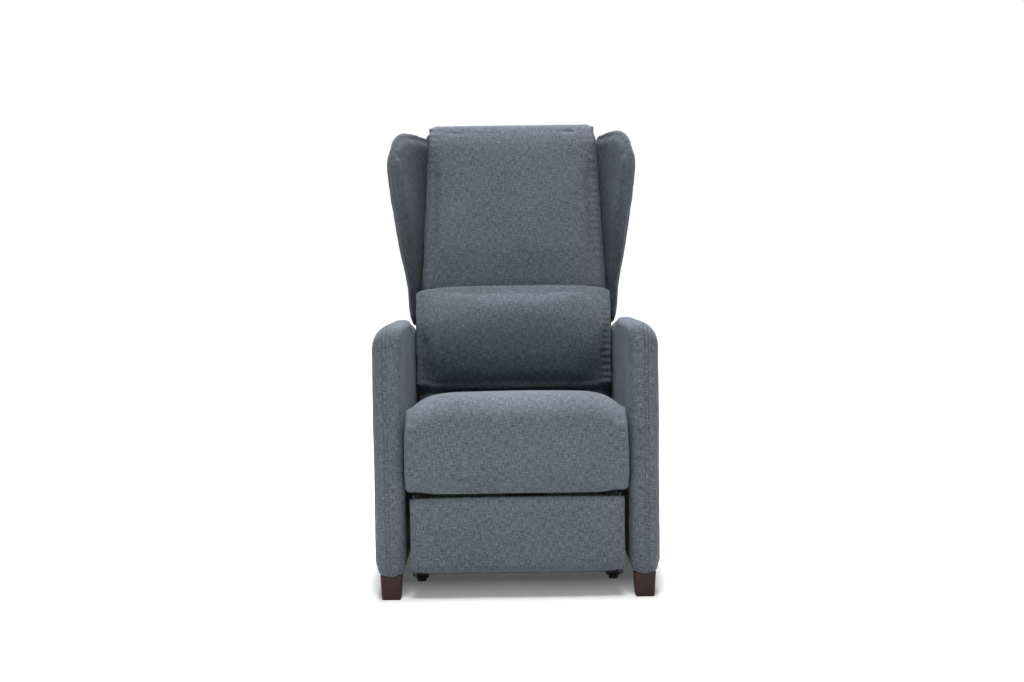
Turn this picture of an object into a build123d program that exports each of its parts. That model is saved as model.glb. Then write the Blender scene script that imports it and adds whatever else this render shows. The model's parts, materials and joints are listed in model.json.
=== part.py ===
from build123d import *
import math
import os

os.makedirs("parts", exist_ok=True)

# Lift recliner in millimetres. X to the right, Y to the rear, Z up, floor at zero, front towards -Y.

# Outline of the chair
total_width = 660
arm_thick = 70
arm_front = -385
arm_rear = 262
arm_top = 614
leg_height = 58
leg_top_side = 50
leg_foot_side = 44
leg_inset = 35
half_width = total_width / 2
arm_inner = half_width - arm_thick
arm_mid = half_width - arm_thick / 2

# Fits
soft_gap = 0.3
run_fit = 0.05
seat_fit = 0.02
open_fit = 0.7
pantograph_fit = 0.2

# Layers of flat links, counted inwards from the arm
arm_clear = 7
foot_link = 4
lift_link = 5
layer_gap = 1
guide_out = arm_inner - arm_clear
guide_in = guide_out - foot_link
cross_out = guide_in - layer_gap
cross_in = cross_out - foot_link
main_out = cross_in - layer_gap
main_in = main_out - foot_link
plate_out = main_in - layer_gap
plate_in = plate_out - 4
front_link_out = plate_in - 2.5
front_link_in = front_link_out - lift_link
rear_link_out = front_link_in - 1.5
rear_link_in = rear_link_out - lift_link
lug_out = rear_link_in - 2
lug_in = lug_out - lift_link

# Pivots as (Y, Z)
lift_front_base = (-187.3, 75.4)
lift_front_top = (23.3, 84.6)
lift_rear_base = (-134.4, 104.2)
lift_rear_top = (189.9, 140.6)
hinge = (185, 330)
lift_turn = 52.13
recline_turn = 38
back_lean = 12

# Footrest linkage, two parallelograms that share the cross link
foot_pivot = (-285, 227)
main_length = 130
main_extra = 51
main_angle = -82
cross_length = 112
cross_angle = 72
tail = (22, -18)

# Actuators
lift_crank = 90
back_crank_length = 70
rod_radius = 9
tube_radius = 21
pin_radius = 6
small_pin = 4.5
bolt_radius = 4

# Seat frame
rail_bottom = 292
rail_top = 340
rail_front = -345
rail_rear = 140
rail_thick = 22
seat_rear = 116
seat_front = -398
seat_crest = 467
seat_fall = 42
lip_bottom = 250

# Back, in its own frame at the hinge: w to the rear, v up along the back
back_low = 20
back_high = 820
back_shoulder = 0.43
back_half_low = arm_inner - 3
back_half_high = arm_inner - 25
frame_front = -12
frame_rear = 28
cover_rear = 45
cushion_front = -62
lumbar_front = -137
lumbar_low = 86
lumbar_high = 356

standing = (Align.CENTER, Align.CENTER, Align.MIN)


def forward(angle, length):
    return (-length * math.cos(math.radians(angle)), length * math.sin(math.radians(angle)))


def shifted(point, step):
    return (point[0] + step[0], point[1] + step[1])


def outline(points, radius=0):
    face = make_face(Polyline(*points, close=True))
    if radius:
        face = fillet(face.vertices(), radius)
    return face


def slab(sketch, x0, x1):
    return extrude(Plane.YZ.offset(x0) * sketch, amount=x1 - x0)


def pin(at, radius, x0, x1):
    return slab(Pos(at[0], at[1]) * Circle(radius), x0, x1)


def bar(first, last, half, x0, x1):
    run = last[0] - first[0]
    rise = last[1] - first[1]
    turn = math.degrees(math.atan2(rise, run))
    middle = Pos((first[0] + last[0]) / 2, (first[1] + last[1]) / 2)
    return slab(middle * Rot(0, 0, turn) * SlotCenterToCenter(math.hypot(run, rise), 2 * half), x0, x1)


def block(x0, x1, y0, y1, z0, z1):
    return Pos((x0 + x1) / 2, (y0 + y1) / 2, (z0 + z1) / 2) * Box(x1 - x0, y1 - y0, z1 - z0)


def shaft(x, z, radius, y0, y1):
    return Pos(x, (y0 + y1) / 2, z) * Rot(90, 0, 0) * Cylinder(radius, y1 - y0)


def both(shape):
    return shape + mirror(shape, about=Plane.YZ)


def save(shape, name):
    export_step(shape, f"parts/{name}.step")


# Footrest pivots at rest
guide_pivot = shifted(foot_pivot, tail)
main_mid = shifted(foot_pivot, forward(main_angle, main_length))
main_end = shifted(foot_pivot, forward(main_angle, main_length + main_extra))
cross_top = shifted(main_mid, forward(cross_angle, cross_length))
second_top = shifted(main_end, forward(cross_angle, cross_length))
cross_tail = shifted(main_mid, tail)

# Lift crank pin at rest, half a turn range before the upright
lift_half = math.radians(lift_turn / 2)
lift_pin = shifted(lift_front_base, (lift_crank * math.sin(lift_half), lift_crank * math.cos(lift_half)))
lift_sag = lift_crank * (1 - math.cos(lift_half))
lift_axis = lift_pin[1] + lift_sag / 2

# Back crank pin at rest, half a turn range behind the plumb line
back_half = math.radians(recline_turn / 2)
back_pin = shifted(hinge, (back_crank_length * math.sin(back_half), -back_crank_length * math.cos(back_half)))
back_sag = back_crank_length * (1 - math.cos(back_half))
back_axis = back_pin[1] - back_sag / 2

# Base on the floor
glide_height = 8
base_rail_wide = 30
base_rail_high = 25
base_wall = 2.5
base_front = -205
base_rear = 205
base_top = glide_height + base_rail_high
rail_edge = lug_out + base_rail_wide
front_bar_low = 20
toe_length = 60
bars_at = (base_front, -45, base_rear - 30)


# Side rail as a tube with a solid toe that slopes up at the front
def base_rail(x0, x1):
    outer = block(x0, x1, base_front, base_rear, glide_height, base_top)
    inner = block(x0 + base_wall, x1 - base_wall, base_front + toe_length, base_rear + 1,
                  glide_height + base_wall, base_top - base_wall)
    slope = outline([
        (base_front - 1, glide_height - 1), (base_front + 10, glide_height - 1),
        (base_front - 1, front_bar_low),
    ])
    return outer - inner - slab(slope, x0 - 1, x1 + 1)


base_rails = both(base_rail(lug_out, rail_edge))
base_bars = Part()
for start in bars_at:
    low = front_bar_low if start == base_front else glide_height
    outer = block(-lug_out, lug_out, start, start + 30, low, base_top)
    hollow_y = (start + base_wall, start + 30 - base_wall)
    inner = block(-lug_in, lug_in, *hollow_y, low + base_wall, base_top - base_wall)
    base_bars += outer - inner
lug = slab(outline([
    (lift_front_base[0] - 24, front_bar_low + 4),
    (lift_front_base[0] - 24, lift_front_base[1] + 22),
    (lift_rear_base[0] - 16, lift_rear_base[1] + 20),
    (lift_rear_base[0] + 22, lift_rear_base[1] + 20),
    (lift_rear_base[0] + 52, glide_height),
], 6), lug_in, lug_out)
shaft_radius = 12
lug -= pin(lift_front_base, shaft_radius + run_fit, lug_in - 1, lug_out + 1)
lug -= pin(lift_rear_base, pin_radius + seat_fit, lug_in - 1, lug_out + 1)
gear_half = 22
motor_radius = 22
motor_side = 48
gear_out = motor_side + motor_radius + 2
mount_y = base_rear - 15
fork = block(gear_out + 1, gear_out + 5, base_rear - 28, base_rear - 2, base_top, lift_axis + 14)
fork += block(-gear_half - 5, -gear_half - 1, base_rear - 28, base_rear - 2, base_top, lift_axis + 14)
fork -= pin((mount_y, lift_axis), pin_radius + seat_fit, -gear_half - 6, gear_out + 6)
cradle = block(-12, 12, bars_at[1] + 3, bars_at[1] + 27, base_top, lift_axis - tube_radius)
cradle += block(-tube_radius - 8, tube_radius + 8, bars_at[1] + 3, bars_at[1] + 27,
                lift_axis - tube_radius - 6, lift_axis)
cradle -= shaft(0, lift_axis, tube_radius + seat_fit, bars_at[1], bars_at[1] + 30)
base_frame = base_rails + base_bars + both(lug) + fork + cradle
save(base_frame, "base_frame")

glides = Part()
for y in (base_front + 18, base_rear - 18):
    foot = Pos(rail_edge - 13, y, 0) * Cone(12, 11, glide_height, align=standing)
    glides += both(foot)
save(glides, "base_glides")
save(both(pin(lift_rear_base, pin_radius, lug_in, rear_link_out + 0.3)), "base_pivot_pins")

box_depth = 46
box = block(-168, -66, base_rear - box_depth, base_rear, base_top, base_top + 40)
box = fillet(box.edges().filter_by(Axis.Z), 6)
box = fillet(box.faces().sort_by(Axis.Z)[-1].edges(), 4)
inlet = block(-156, -128, base_rear - 12, base_rear + 1, base_top + 12, base_top + 30)
box -= inlet
box += shaft(-146, base_top + 21, 1.6, base_rear - 13, base_rear - 2)
box += shaft(-138, base_top + 21, 1.6, base_rear - 13, base_rear - 2)
save(box, "control_box")


# Actuator housing along Y with the motor beside the tube; the gearbox sits at gear_near
def housing(axis_z, gear_near, gear_far, mouth, bore_end, mount):
    low = min(gear_near, gear_far)
    high = max(gear_near, gear_far)
    gear = block(-gear_half, gear_out, low, high, axis_z - 26, axis_z + 26)
    gear = fillet(gear.edges().filter_by(Axis.Y), 8)
    body = gear + shaft(0, axis_z, tube_radius, min(gear_near, mouth), max(gear_near, mouth))
    body -= shaft(0, axis_z, rod_radius + run_fit, min(bore_end, mouth), max(bore_end, mouth))
    body -= pin((mount, axis_z), pin_radius + seat_fit, -gear_half - 1, gear_out + 1)
    return body


def motor(axis_z, gear_face, far):
    low = min(gear_face, far)
    high = max(gear_face, far)
    can = shaft(motor_side, axis_z, motor_radius, low, high)
    boss_low = low - 5 if far < gear_face else low
    boss_high = high + 5 if far > gear_face else high
    return can + shaft(motor_side, axis_z, 7, boss_low, boss_high)


def yoke(at_y, axis_z, half_rise, slot_fit, rod_end):
    high = half_rise + pin_radius + 8
    head = block(-gear_half + 13, gear_half - 13, at_y - 17, at_y + 17, axis_z - high, axis_z + high)
    head = fillet(head.edges().filter_by(Axis.X), 7)
    rod = head + shaft(0, axis_z, rod_radius, min(at_y, rod_end), max(at_y, rod_end))
    slot = SlotCenterToCenter(2 * half_rise + 0.6, 2 * (pin_radius + slot_fit))
    slot = Pos(at_y, axis_z) * Rot(0, 0, 90) * slot
    return rod - slab(slot, -gear_half, gear_half)


# Lift actuator, fixed to the base, its slotted yoke on the crank of the torque shaft
lift_gear_face = base_rear - 70
lift_mouth = -60
save(housing(lift_axis, lift_gear_face, base_rear - 3, lift_mouth, 120, mount_y), "lift_actuator_housing")
save(motor(lift_axis, lift_gear_face, lift_gear_face - 105), "lift_actuator_motor")
save(pin((mount_y, lift_axis), pin_radius, -gear_half - 7, gear_out + 7), "lift_actuator_pin")
save(yoke(lift_pin[0], lift_axis, lift_sag / 2, open_fit, 100), "lift_actuator_rod")

# Lift links
crank_in = gear_half - 11.5
crank_out = crank_in + 6
torque = pin(lift_front_base, shaft_radius, -front_link_out, front_link_out)
torque += both(bar(lift_front_base, lift_pin, 16, crank_in, crank_out))
torque += pin(lift_pin, pin_radius, -crank_out, crank_out)
save(torque, "lift_torque_shaft")
front_link = bar(lift_front_base, lift_front_top, 19, front_link_in, front_link_out)
front_link -= pin(lift_front_base, shaft_radius + seat_fit, front_link_in - 1, front_link_out + 1)
front_link -= pin(lift_front_top, pin_radius + run_fit, front_link_in - 1, front_link_out + 1)
save(both(front_link), "lift_front_links")
rear_link = bar(lift_rear_base, lift_rear_top, 14, rear_link_in, rear_link_out)
rear_link -= pin(lift_rear_base, pin_radius + run_fit, rear_link_in - 1, rear_link_out + 1)
rear_link -= pin(lift_rear_top, pin_radius + open_fit, rear_link_in - 1, rear_link_out + 1)
save(both(rear_link), "lift_rear_links")

# Side plates of the seat carriage
arm_bolts_at = [(-210, (rail_bottom + rail_top) / 2), (95, (rail_bottom + rail_top) / 2)]
tube_front = (-250, 262)
tube_rear = (60, 214)
tube_r = 12.5
plate = slab(outline([
    (foot_pivot[0] - 20, foot_pivot[1] - 12),
    (guide_pivot[0], guide_pivot[1] - 20),
    (-70, guide_pivot[1] - 20),
    (lift_front_top[0] - 20, lift_front_top[1] - 20),
    (lift_front_top[0] + 22, lift_front_top[1] - 20),
    (lift_rear_top[0] + 22, lift_rear_top[1] - 18),
    (lift_rear_top[0] + 22, lift_rear_top[1] + 40),
    (hinge[0] + 20, hinge[1] + 22),
    (hinge[0] - 22, hinge[1] + 22),
    (rail_rear - 4, rail_top),
    (foot_pivot[0] - 20, rail_top),
], 8), plate_in, plate_out)
for at in (lift_front_top, lift_rear_top, hinge):
    plate -= pin(at, pin_radius + seat_fit, plate_in - 1, plate_out + 1)
for at in (foot_pivot, guide_pivot):
    plate -= pin(at, small_pin + seat_fit, plate_in - 1, plate_out + 1)
for at in arm_bolts_at:
    plate -= pin(at, bolt_radius + seat_fit, plate_in - 1, plate_out + 1)
save(mirror(plate, about=Plane.YZ), "side_plate_left")
save(plate, "side_plate_right")
lift_pins = pin(lift_front_top, pin_radius, front_link_in - 0.3, plate_out)
lift_pins += pin(lift_rear_top, pin_radius, rear_link_in - 0.5, plate_out)
save(both(lift_pins), "lift_pivot_pins")
foot_pins = pin(foot_pivot, small_pin, plate_in, main_out + 0.3)
foot_pins += pin(foot_pivot, 8, main_out + 0.3, main_out + 3)
foot_pins += pin(guide_pivot, small_pin, plate_in, guide_out + 0.3)
foot_pins += pin(guide_pivot, 8, guide_out + 0.3, guide_out + 3)
save(both(foot_pins), "footrest_pivot_pins")

# Cross tubes with the forks and cradle of the back actuator
back_gear_far = tube_front[0] + tube_r + 5
back_gear_near = back_gear_far + 68
back_mount = back_gear_far + 18
front_tube = pin(tube_front, tube_r, -plate_in, plate_in)
front_tube -= pin(tube_front, tube_r - 2, -plate_in - 1, plate_in + 1)
horn = slab(outline([
    (tube_front[0], tube_front[1] - tube_r + 1),
    (back_mount + 14, back_axis - 14),
    (back_mount + 14, back_axis + 14),
    (tube_front[0], tube_front[1] + tube_r - 1),
]), gear_out + 1, gear_out + 5)
horn += slab(outline([
    (tube_front[0], tube_front[1] - tube_r + 1),
    (back_mount + 14, back_axis - 14),
    (back_mount + 14, back_axis + 14),
    (tube_front[0], tube_front[1] + tube_r - 1),
]), -gear_half - 5, -gear_half - 1)
horn -= pin((back_mount, back_axis), pin_radius + seat_fit, -gear_half - 6, gear_out + 6)
horn -= pin(tube_front, tube_r - 1, -gear_half - 6, gear_out + 6)
save(front_tube + horn, "cross_tube_front")
saddle_half = tube_radius + 6
saddle = block(-saddle_half, saddle_half, tube_rear[0] - 10, tube_rear[0] + 10, tube_rear[1], back_axis)
saddle -= shaft(0, back_axis, tube_radius + seat_fit, tube_rear[0] - 11, tube_rear[0] + 11)
rear_tube = pin(tube_rear, tube_r, -plate_in, plate_in) + saddle
rear_tube -= pin(tube_rear, tube_r - 2, -plate_in - 1, plate_in + 1)
save(rear_tube, "cross_tube_rear")

# Back actuator, fixed to the carriage, its slotted yoke on the crank of the back
back_mouth = 110
save(housing(back_axis, back_gear_near, back_gear_far, back_mouth, -130, back_mount), "back_actuator_housing")
save(motor(back_axis, back_gear_near, back_gear_near + 105), "back_actuator_motor")
save(pin((back_mount, back_axis), pin_radius, -gear_half - 7, gear_out + 7), "back_actuator_pin")
save(yoke(back_pin[0], back_axis, back_sag / 2, 0.3, -60), "back_actuator_rod")

# Wooden seat frame
rail_out = arm_inner - soft_gap
side_rail = block(plate_out, rail_out, rail_front, rail_rear, rail_bottom, rail_top)
for at in arm_bolts_at:
    side_rail -= pin(at, bolt_radius + seat_fit, plate_out - 1, rail_out + 1)
save(mirror(side_rail, about=Plane.YZ), "seat_side_rail_left")
save(side_rail, "seat_side_rail_right")
front_rail_rear = rail_front + rail_thick
rear_rail_front = rail_rear - rail_thick
cross_rails = block(-plate_out, plate_out, rail_front, front_rail_rear, rail_bottom + 4, rail_top)
cross_rails += block(-plate_in, plate_in, rear_rail_front, rail_rear, rail_bottom, rail_top)
save(cross_rails, "seat_cross_rails")

# Sinuous springs and their clips
wire = 4
spring_z = rail_top - 6
spring_half = 26
spring_first = front_rail_rear + 6
spring_last = rear_rail_front - 6
spring_waves = 14
pitch = (spring_last - spring_first) / spring_waves
spring_at = [plate_in * share for share in (-0.72, -0.36, 0, 0.36, 0.72)]
springs = Part()
clips = Part()
for x in spring_at:
    for i in range(spring_waves + 1):
        y = spring_first + i * pitch
        across = (x - spring_half, x + spring_half)
        springs += block(*across, y - wire / 2, y + wire / 2, spring_z, spring_z + wire)
        if i < spring_waves:
            side = spring_half - wire / 2 if i % 2 else wire / 2 - spring_half
            edge = (x + side - wire / 2, x + side + wire / 2)
            springs += block(*edge, y, y + pitch, spring_z, spring_z + wire)
    for y, wall in ((spring_first, front_rail_rear), (spring_last, rear_rail_front)):
        far = 2 * y - wall
        ear = block(x - 14, x + 14, min(wall, far), max(wall, far), spring_z - 3, rail_top - 0.2)
        ear -= block(x - 15, x + 15, y - wire / 2 - run_fit, y + wire / 2 + run_fit,
                     spring_z - run_fit, spring_z + wire + run_fit)
        clips += ear
save(springs, "seat_springs")
save(clips, "spring_clips")

# Arms: plywood core inside a padded cover, four legs on hanger bolts
core_in = arm_inner + 22
core_out = core_in + 18


def arm_core(grow):
    low_y = arm_front + 45 - grow
    high_y = arm_rear - 28 + grow
    low_z = leg_height + 18 - grow
    high_z = arm_top - 38 + grow
    sketch = outline([
        (low_y, low_z), (high_y, low_z), (high_y, high_z), (low_y + 45, high_z), (low_y, high_z - 45),
    ])
    return slab(sketch, core_in - grow, core_out + grow)


def leg_spots():
    return ((arm_mid, arm_front + leg_inset), (arm_mid, arm_rear - leg_inset))


arm_low = leg_height
arm_face = outline([
    (arm_front, arm_low), (arm_rear, arm_low), (arm_rear, arm_top), (arm_front, arm_top),
])
corners = arm_face.vertices().sort_by(Axis.Y)
arm_face = fillet(corners[:2], 34)
tops = arm_face.vertices().group_by(Axis.Y)[-1]
arm_face = fillet(tops.sort_by(Axis.X)[-1:], 45)
tops = arm_face.vertices().group_by(Axis.Y)[-1]
arm_face = fillet(tops.sort_by(Axis.X)[:1], 85)
arm_cover = slab(arm_face, arm_inner, half_width)
rims = arm_cover.faces().filter_by(Axis.X).edges()
arm_cover = fillet(rims, 30)
arm_cover -= arm_core(soft_gap)
core = arm_core(0)
bolts = Part()
leg_bolts = Part()
for at in arm_bolts_at:
    arm_cover -= pin(at, bolt_radius + soft_gap, arm_inner - 1, core_in)
    core -= pin(at, bolt_radius + seat_fit, core_in - 1, core_out + 1)
    bolts += pin(at, bolt_radius, plate_in, core_out) + pin(at, 8, plate_in - 5, plate_in)
for x, y in leg_spots():
    stud = Pos(x, y, 20) * Cylinder(bolt_radius, leg_height + 28, align=standing)
    wide = Pos(x, y, 20) * Cylinder(bolt_radius + soft_gap, leg_height + 28, align=standing)
    tight = Pos(x, y, 20) * Cylinder(bolt_radius + seat_fit, leg_height + 28, align=standing)
    arm_cover -= wide
    core -= tight
    leg_bolts += both(stud)
save(mirror(arm_cover, about=Plane.YZ), "arm_cover_left")
save(arm_cover, "arm_cover_right")
save(mirror(core, about=Plane.YZ), "arm_core_left")
save(core, "arm_core_right")
save(both(bolts) + leg_bolts, "frame_bolts")
leg_sketch = Pos(0, 0, 0) * RectangleRounded(leg_foot_side, leg_foot_side, 5)
leg_head = Pos(0, 0, leg_height - soft_gap) * RectangleRounded(leg_top_side, leg_top_side, 5)
leg = loft([leg_sketch.faces()[0], leg_head.faces()[0]])
leg = chamfer(leg.faces().sort_by(Axis.Z)[0].edges(), 2)
leg -= Pos(0, 0, 20) * Cylinder(bolt_radius + seat_fit, leg_height, align=standing)
for name, (x, y) in zip(("front", "rear"), leg_spots()):
    save(Pos(-x, y, 0) * leg, f"leg_{name}_left")
    save(Pos(x, y, 0) * leg, f"leg_{name}_right")

# Padded panel closing the rear below the back
panel = block(-rail_out, rail_out, arm_rear - 33, arm_rear - 17, leg_height + 8, rail_bottom - 6)
panel = fillet(panel.edges(), 5)
save(panel, "rear_panel")

# Seat cushion, lofted across the width with drawn-in ends and a crown
seat_low = rail_top + soft_gap


def seat_section(x, draw, crown):
    sketch = outline([
        (seat_rear - draw * 0.4, seat_low),
        (seat_rear - draw * 0.6, seat_crest - seat_fall - 18 - draw),
        (seat_rear - 34, seat_crest - seat_fall + crown * 0.6 - draw),
        (seat_front + 270, seat_crest - seat_fall * 0.3 + crown * 1.6 - draw),
        (seat_front + 108, seat_crest + crown - draw),
        (seat_front + 34 + draw, seat_crest - 34 - draw + crown * 0.5),
        (seat_front + draw * 0.7, seat_crest - 112),
        (seat_front + draw * 0.7, lip_bottom + 34),
        (seat_front + 18 + draw * 0.5, lip_bottom + draw * 0.4),
        (rail_front - soft_gap, lip_bottom + draw * 0.4),
        (rail_front - soft_gap, seat_low),
    ])
    return (Plane.YZ.offset(x) * sketch).faces()[0]


seat_half = arm_inner - 4
seat_faces = []
for step in range(-4, 5):
    part_way = step / 4
    seat_faces.append(seat_section(part_way * seat_half, 20 * part_way ** 6, 9 * (1 - part_way ** 2)))
seat = loft(seat_faces)
save(seat, "seat_cushion")

# Back, built upright at the hinge and leaned afterwards
lean = Pos(0, hinge[0], hinge[1]) * Rot(-back_lean, 0, 0)


shoulder_at = back_low + back_shoulder * (back_high - back_low)


def back_half_at(v):
    share = max(0, (v - shoulder_at) / (back_high - shoulder_at))
    return back_half_low + (back_half_high - back_half_low) * share


upright_out = front_link_out - 4.5
upright_in = upright_out - 37
stile = block(upright_in, upright_out, frame_front, frame_rear, back_low, back_high - 48)
back_frame = both(stile)
middle_rail = back_low + 0.4 * (back_high - back_low)
rail_spans = ((back_low, back_low + 42), (middle_rail, middle_rail + 36), (back_high - 90, back_high - 48))
for low, high in rail_spans:
    back_frame += block(-upright_in, upright_in, frame_front, frame_rear, low, high)
save(lean * back_frame, "back_frame")

webbing = Part()
strap_step = (back_high - back_low - 190) / 6
for i in range(7):
    low = back_low + 50 + i * strap_step
    webbing += block(-upright_out, upright_out, frame_front - 2, frame_front, low, low + 50)
save(lean * webbing, "back_webbing")

plate_edge = upright_out + 5
bracket_form = outline([(-16, -16), (16, -16), (24, 30), (24, 170), (-8, 170), (-8, 30)], 6)
bracket = slab(bracket_form, upright_out, plate_edge)
bracket -= pin((0, 0), pin_radius + run_fit, upright_out - 1, plate_edge + 1)
save(lean * both(bracket), "back_hinge_brackets")
hinge_pin = pin(hinge, pin_radius, upright_out + 0.2, plate_out) + pin(hinge, 9, plate_out, plate_out + 3)
save(both(hinge_pin), "back_hinge_pins")

lean_turn = math.radians(back_lean)
pin_y = back_pin[0] - hinge[0]
pin_z = back_pin[1] - hinge[1]
pin_w = pin_y * math.cos(lean_turn) - pin_z * math.sin(lean_turn)
pin_v = pin_y * math.sin(lean_turn) + pin_z * math.cos(lean_turn)
crank_plate = slab(outline([
    (frame_front, back_low - 6), (pin_w - 14, pin_v - 4), (pin_w - 8, pin_v - 14), (pin_w + 8, pin_v - 14),
    (pin_w + 14, pin_v + 4), (frame_rear, back_low - 6),
]), crank_in, crank_out)
crank = both(crank_plate) + block(-36, 36, frame_front, frame_rear, back_low - 6, back_low)
crank += pin((pin_w, pin_v), pin_radius, -crank_out, crank_out)
save(lean * crank, "back_crank")

# Tray-shaped rear cover, open at the front and bottom
wall = 8


def tray_sketch(inset, low, high):
    return outline([
        (back_half_low - inset, low), (back_half_low - inset, shoulder_at), (back_half_high - inset, high),
        (inset - back_half_high, high), (inset - back_half_low, shoulder_at), (inset - back_half_low, low),
    ])


tray_form = Plane.XZ.offset(-cover_rear) * tray_sketch(0, back_low, back_high)
tray = extrude(tray_form, amount=cover_rear - frame_front)
tray = fillet(tray.faces().sort_by(Axis.Z)[-1].edges().filter_by(Axis.Y), 40)
tray = fillet(tray.faces().sort_by(Axis.Y)[-1].edges(), 7)
hollow = extrude(
    Plane.XZ.offset(-frame_rear - soft_gap) * tray_sketch(wall, back_low - 20, back_high - wall),
    amount=frame_rear - frame_front + 2,
)
hollow = fillet(hollow.faces().sort_by(Axis.Z)[-1].edges().filter_by(Axis.Y), 32)
save(lean * (tray - hollow), "back_cover")


# Back and lumbar cushions
cushion_rear = frame_front - 2 - soft_gap


def cushion_section(drop, draw, front, crown):
    v = back_high - drop
    half = back_half_at(v) - 2 - draw
    deep = cushion_rear - front
    edge = [(half, cushion_rear), (half, front + 0.5 * deep)]
    edge += [(half - 10, front + 0.17 * deep), (half - 34, front)]
    swell = [(half / 2, front - crown * 0.8), (0, front - crown), (-half / 2, front - crown * 0.8)]
    sketch = outline(edge + swell + [(-x, w) for x, w in reversed(edge)])
    return (Plane.XY.offset(v) * sketch).faces()[0]


cushion_levels = (
    (back_high - back_low - 6, 0, cushion_front, 0), (back_high - lumbar_high - 12, 0, cushion_front, 0),
    (back_high - lumbar_high - 40, 0, cushion_front - 3, 7), (250, 0, cushion_front - 6, 11),
    (130, 0, cushion_front - 1, 11), (60, 0, cushion_front + 9, 9), (24, 2, cushion_front + 20, 6),
    (8, 10, cushion_front + 27, 3), (0, 28, cushion_front + 33, 1),
)
save(lean * loft([cushion_section(*level) for level in cushion_levels], ruled=True), "back_cushion")


def lumbar_section(x, draw, crown):
    sketch = outline([
        (cushion_front - soft_gap, lumbar_low + draw),
        (lumbar_front + 42 + draw * 0.4, lumbar_low + draw * 0.8),
        (lumbar_front + 16 + draw * 0.8 - crown, lumbar_low + 0.24 * lumbar_high),
        (lumbar_front + draw - crown, lumbar_low + 0.48 * lumbar_high),
        (lumbar_front + 10 + draw - crown, lumbar_high - 44 - draw),
        (lumbar_front + 36 + draw * 0.5, lumbar_high - draw),
        (cushion_front - soft_gap, lumbar_high - draw),
    ])
    return (Plane.YZ.offset(x) * sketch).faces()[0]


lumbar_half = arm_inner - 8
lumbar_faces = []
for step in range(-4, 5):
    part_way = step / 4
    lumbar_faces.append(lumbar_section(part_way * lumbar_half, 20 * part_way ** 6, 8 * (1 - part_way ** 2)))
save(lean * loft(lumbar_faces), "lumbar_cushion")


# Wings on both sides of the back, splayed outwards and tapering down to the arms
def wing_section(drop, draw, front):
    v = back_high - drop
    near = back_half_at(v) + soft_gap
    outer = max(half_width - draw, near + 8)
    thick = outer - near
    rear_out = near + 0.42 * thick
    tip = outer - min(11, 0.16 * thick)
    inner = outer - min(26, 0.36 * thick)
    sketch = outline([
        (near, 40), (rear_out - 0.14 * thick, 40), (rear_out, 40 - 0.14 * thick), (outer, front + 50),
        (outer - 0.05 * thick, front + 20), (tip, front), (inner, front + 8), (near, cushion_front - 4),
    ])
    return (Plane.XY.offset(v) * sketch).faces()[0]


wing_levels = (
    (535, 66, -72), (462, 50, -98), (389, 37, -126), (316, 25, -148), (243, 13, -162), (170, 3, -168),
    (97, 1, -162), (45, 10, -142), (22, 28, -118),
)
wing = loft([wing_section(*level) for level in wing_levels])
save(lean * wing, "wing_right")
save(lean * mirror(wing, about=Plane.YZ), "wing_left")

# Footrest links
main_link = bar(foot_pivot, main_end, 9, main_in, main_out)
main_link -= pin(foot_pivot, small_pin + run_fit, main_in - 1, main_out + 1)
drive_at = shifted(foot_pivot, forward(main_angle, 45))
drive_radius = 9
main_link -= pin(drive_at, 6 + seat_fit, main_in - 1, main_out + 1)
for at in (main_mid, main_end):
    main_link -= pin(at, small_pin + seat_fit, main_in - 1, main_out + 1)
save(both(main_link), "footrest_main_links")
drive = pin(drive_at, drive_radius, -main_in, main_in) + pin(drive_at, 6, -main_out, main_out)
save(drive, "footrest_drive_tube")
main_pin = pin(main_mid, small_pin, main_in, cross_out + 0.3)
main_pin += pin(main_end, small_pin, main_in, cross_out + 0.3)
save(both(main_pin), "footrest_main_pins")
cross_link = bar(main_mid, cross_top, 7.5, cross_in, cross_out)
cross_link += bar(main_mid, cross_tail, 7.5, cross_in, cross_out)
cross_link -= pin(main_mid, small_pin + run_fit, cross_in - 1, cross_out + 1)
cross_link -= pin(cross_top, small_pin + run_fit, cross_in - 1, cross_out + 1)
cross_link -= pin(cross_tail, small_pin + seat_fit, cross_in - 1, cross_out + 1)
save(both(cross_link), "footrest_cross_links")
save(both(pin(cross_tail, small_pin, cross_in, guide_out + 0.3)), "footrest_guide_pins")
second_link = bar(main_end, second_top, 7.5, cross_in, cross_out)
second_link -= pin(main_end, small_pin + run_fit, cross_in - 1, cross_out + 1)
second_link -= pin(second_top, small_pin + pantograph_fit, cross_in - 1, cross_out + 1)
save(both(second_link), "footrest_second_links")
guide_link = bar(guide_pivot, cross_tail, 8, guide_in, guide_out)
guide_link -= pin(guide_pivot, small_pin + run_fit, guide_in - 1, guide_out + 1)
guide_link -= pin(cross_tail, small_pin + pantograph_fit, guide_in - 1, guide_out + 1)
save(both(guide_link), "footrest_guide_links")

# Footrest board, pad and brackets
board_back = -357
board_thick = 12
board_low = 67
board_high = 234
board_half = arm_inner - 12
bracket_low = second_top[1] - 9
bracket_high = cross_top[1] + 9
hanger = bar(cross_top, second_top, 9, main_in, main_out)
hanger += slab(outline([
    (cross_top[0], bracket_high), (board_back, bracket_high),
    (board_back, bracket_low), (second_top[0], bracket_low),
]), main_in, main_out)
hanger += block(main_out - 40, main_out, board_back, board_back + 4, bracket_low, bracket_high)
for at in (cross_top, second_top):
    hanger -= pin(at, small_pin + seat_fit, main_in - 1, main_out + 1)
screws_at = ((main_out - 28, bracket_low + 14), (main_out - 28, bracket_high - 14))
board = block(-board_half, board_half, board_back - board_thick, board_back, board_low, board_high)
screws = Part()
for x, z in screws_at:
    hole = shaft(x, z, 2.5 + seat_fit, board_back - 9, board_back + 6)
    hanger -= hole
    board -= both(hole)
    screws += shaft(x, z, 2.5, board_back - 8, board_back + 4)
    screws += shaft(x, z, 5, board_back + 4, board_back + 6.5)
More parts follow.
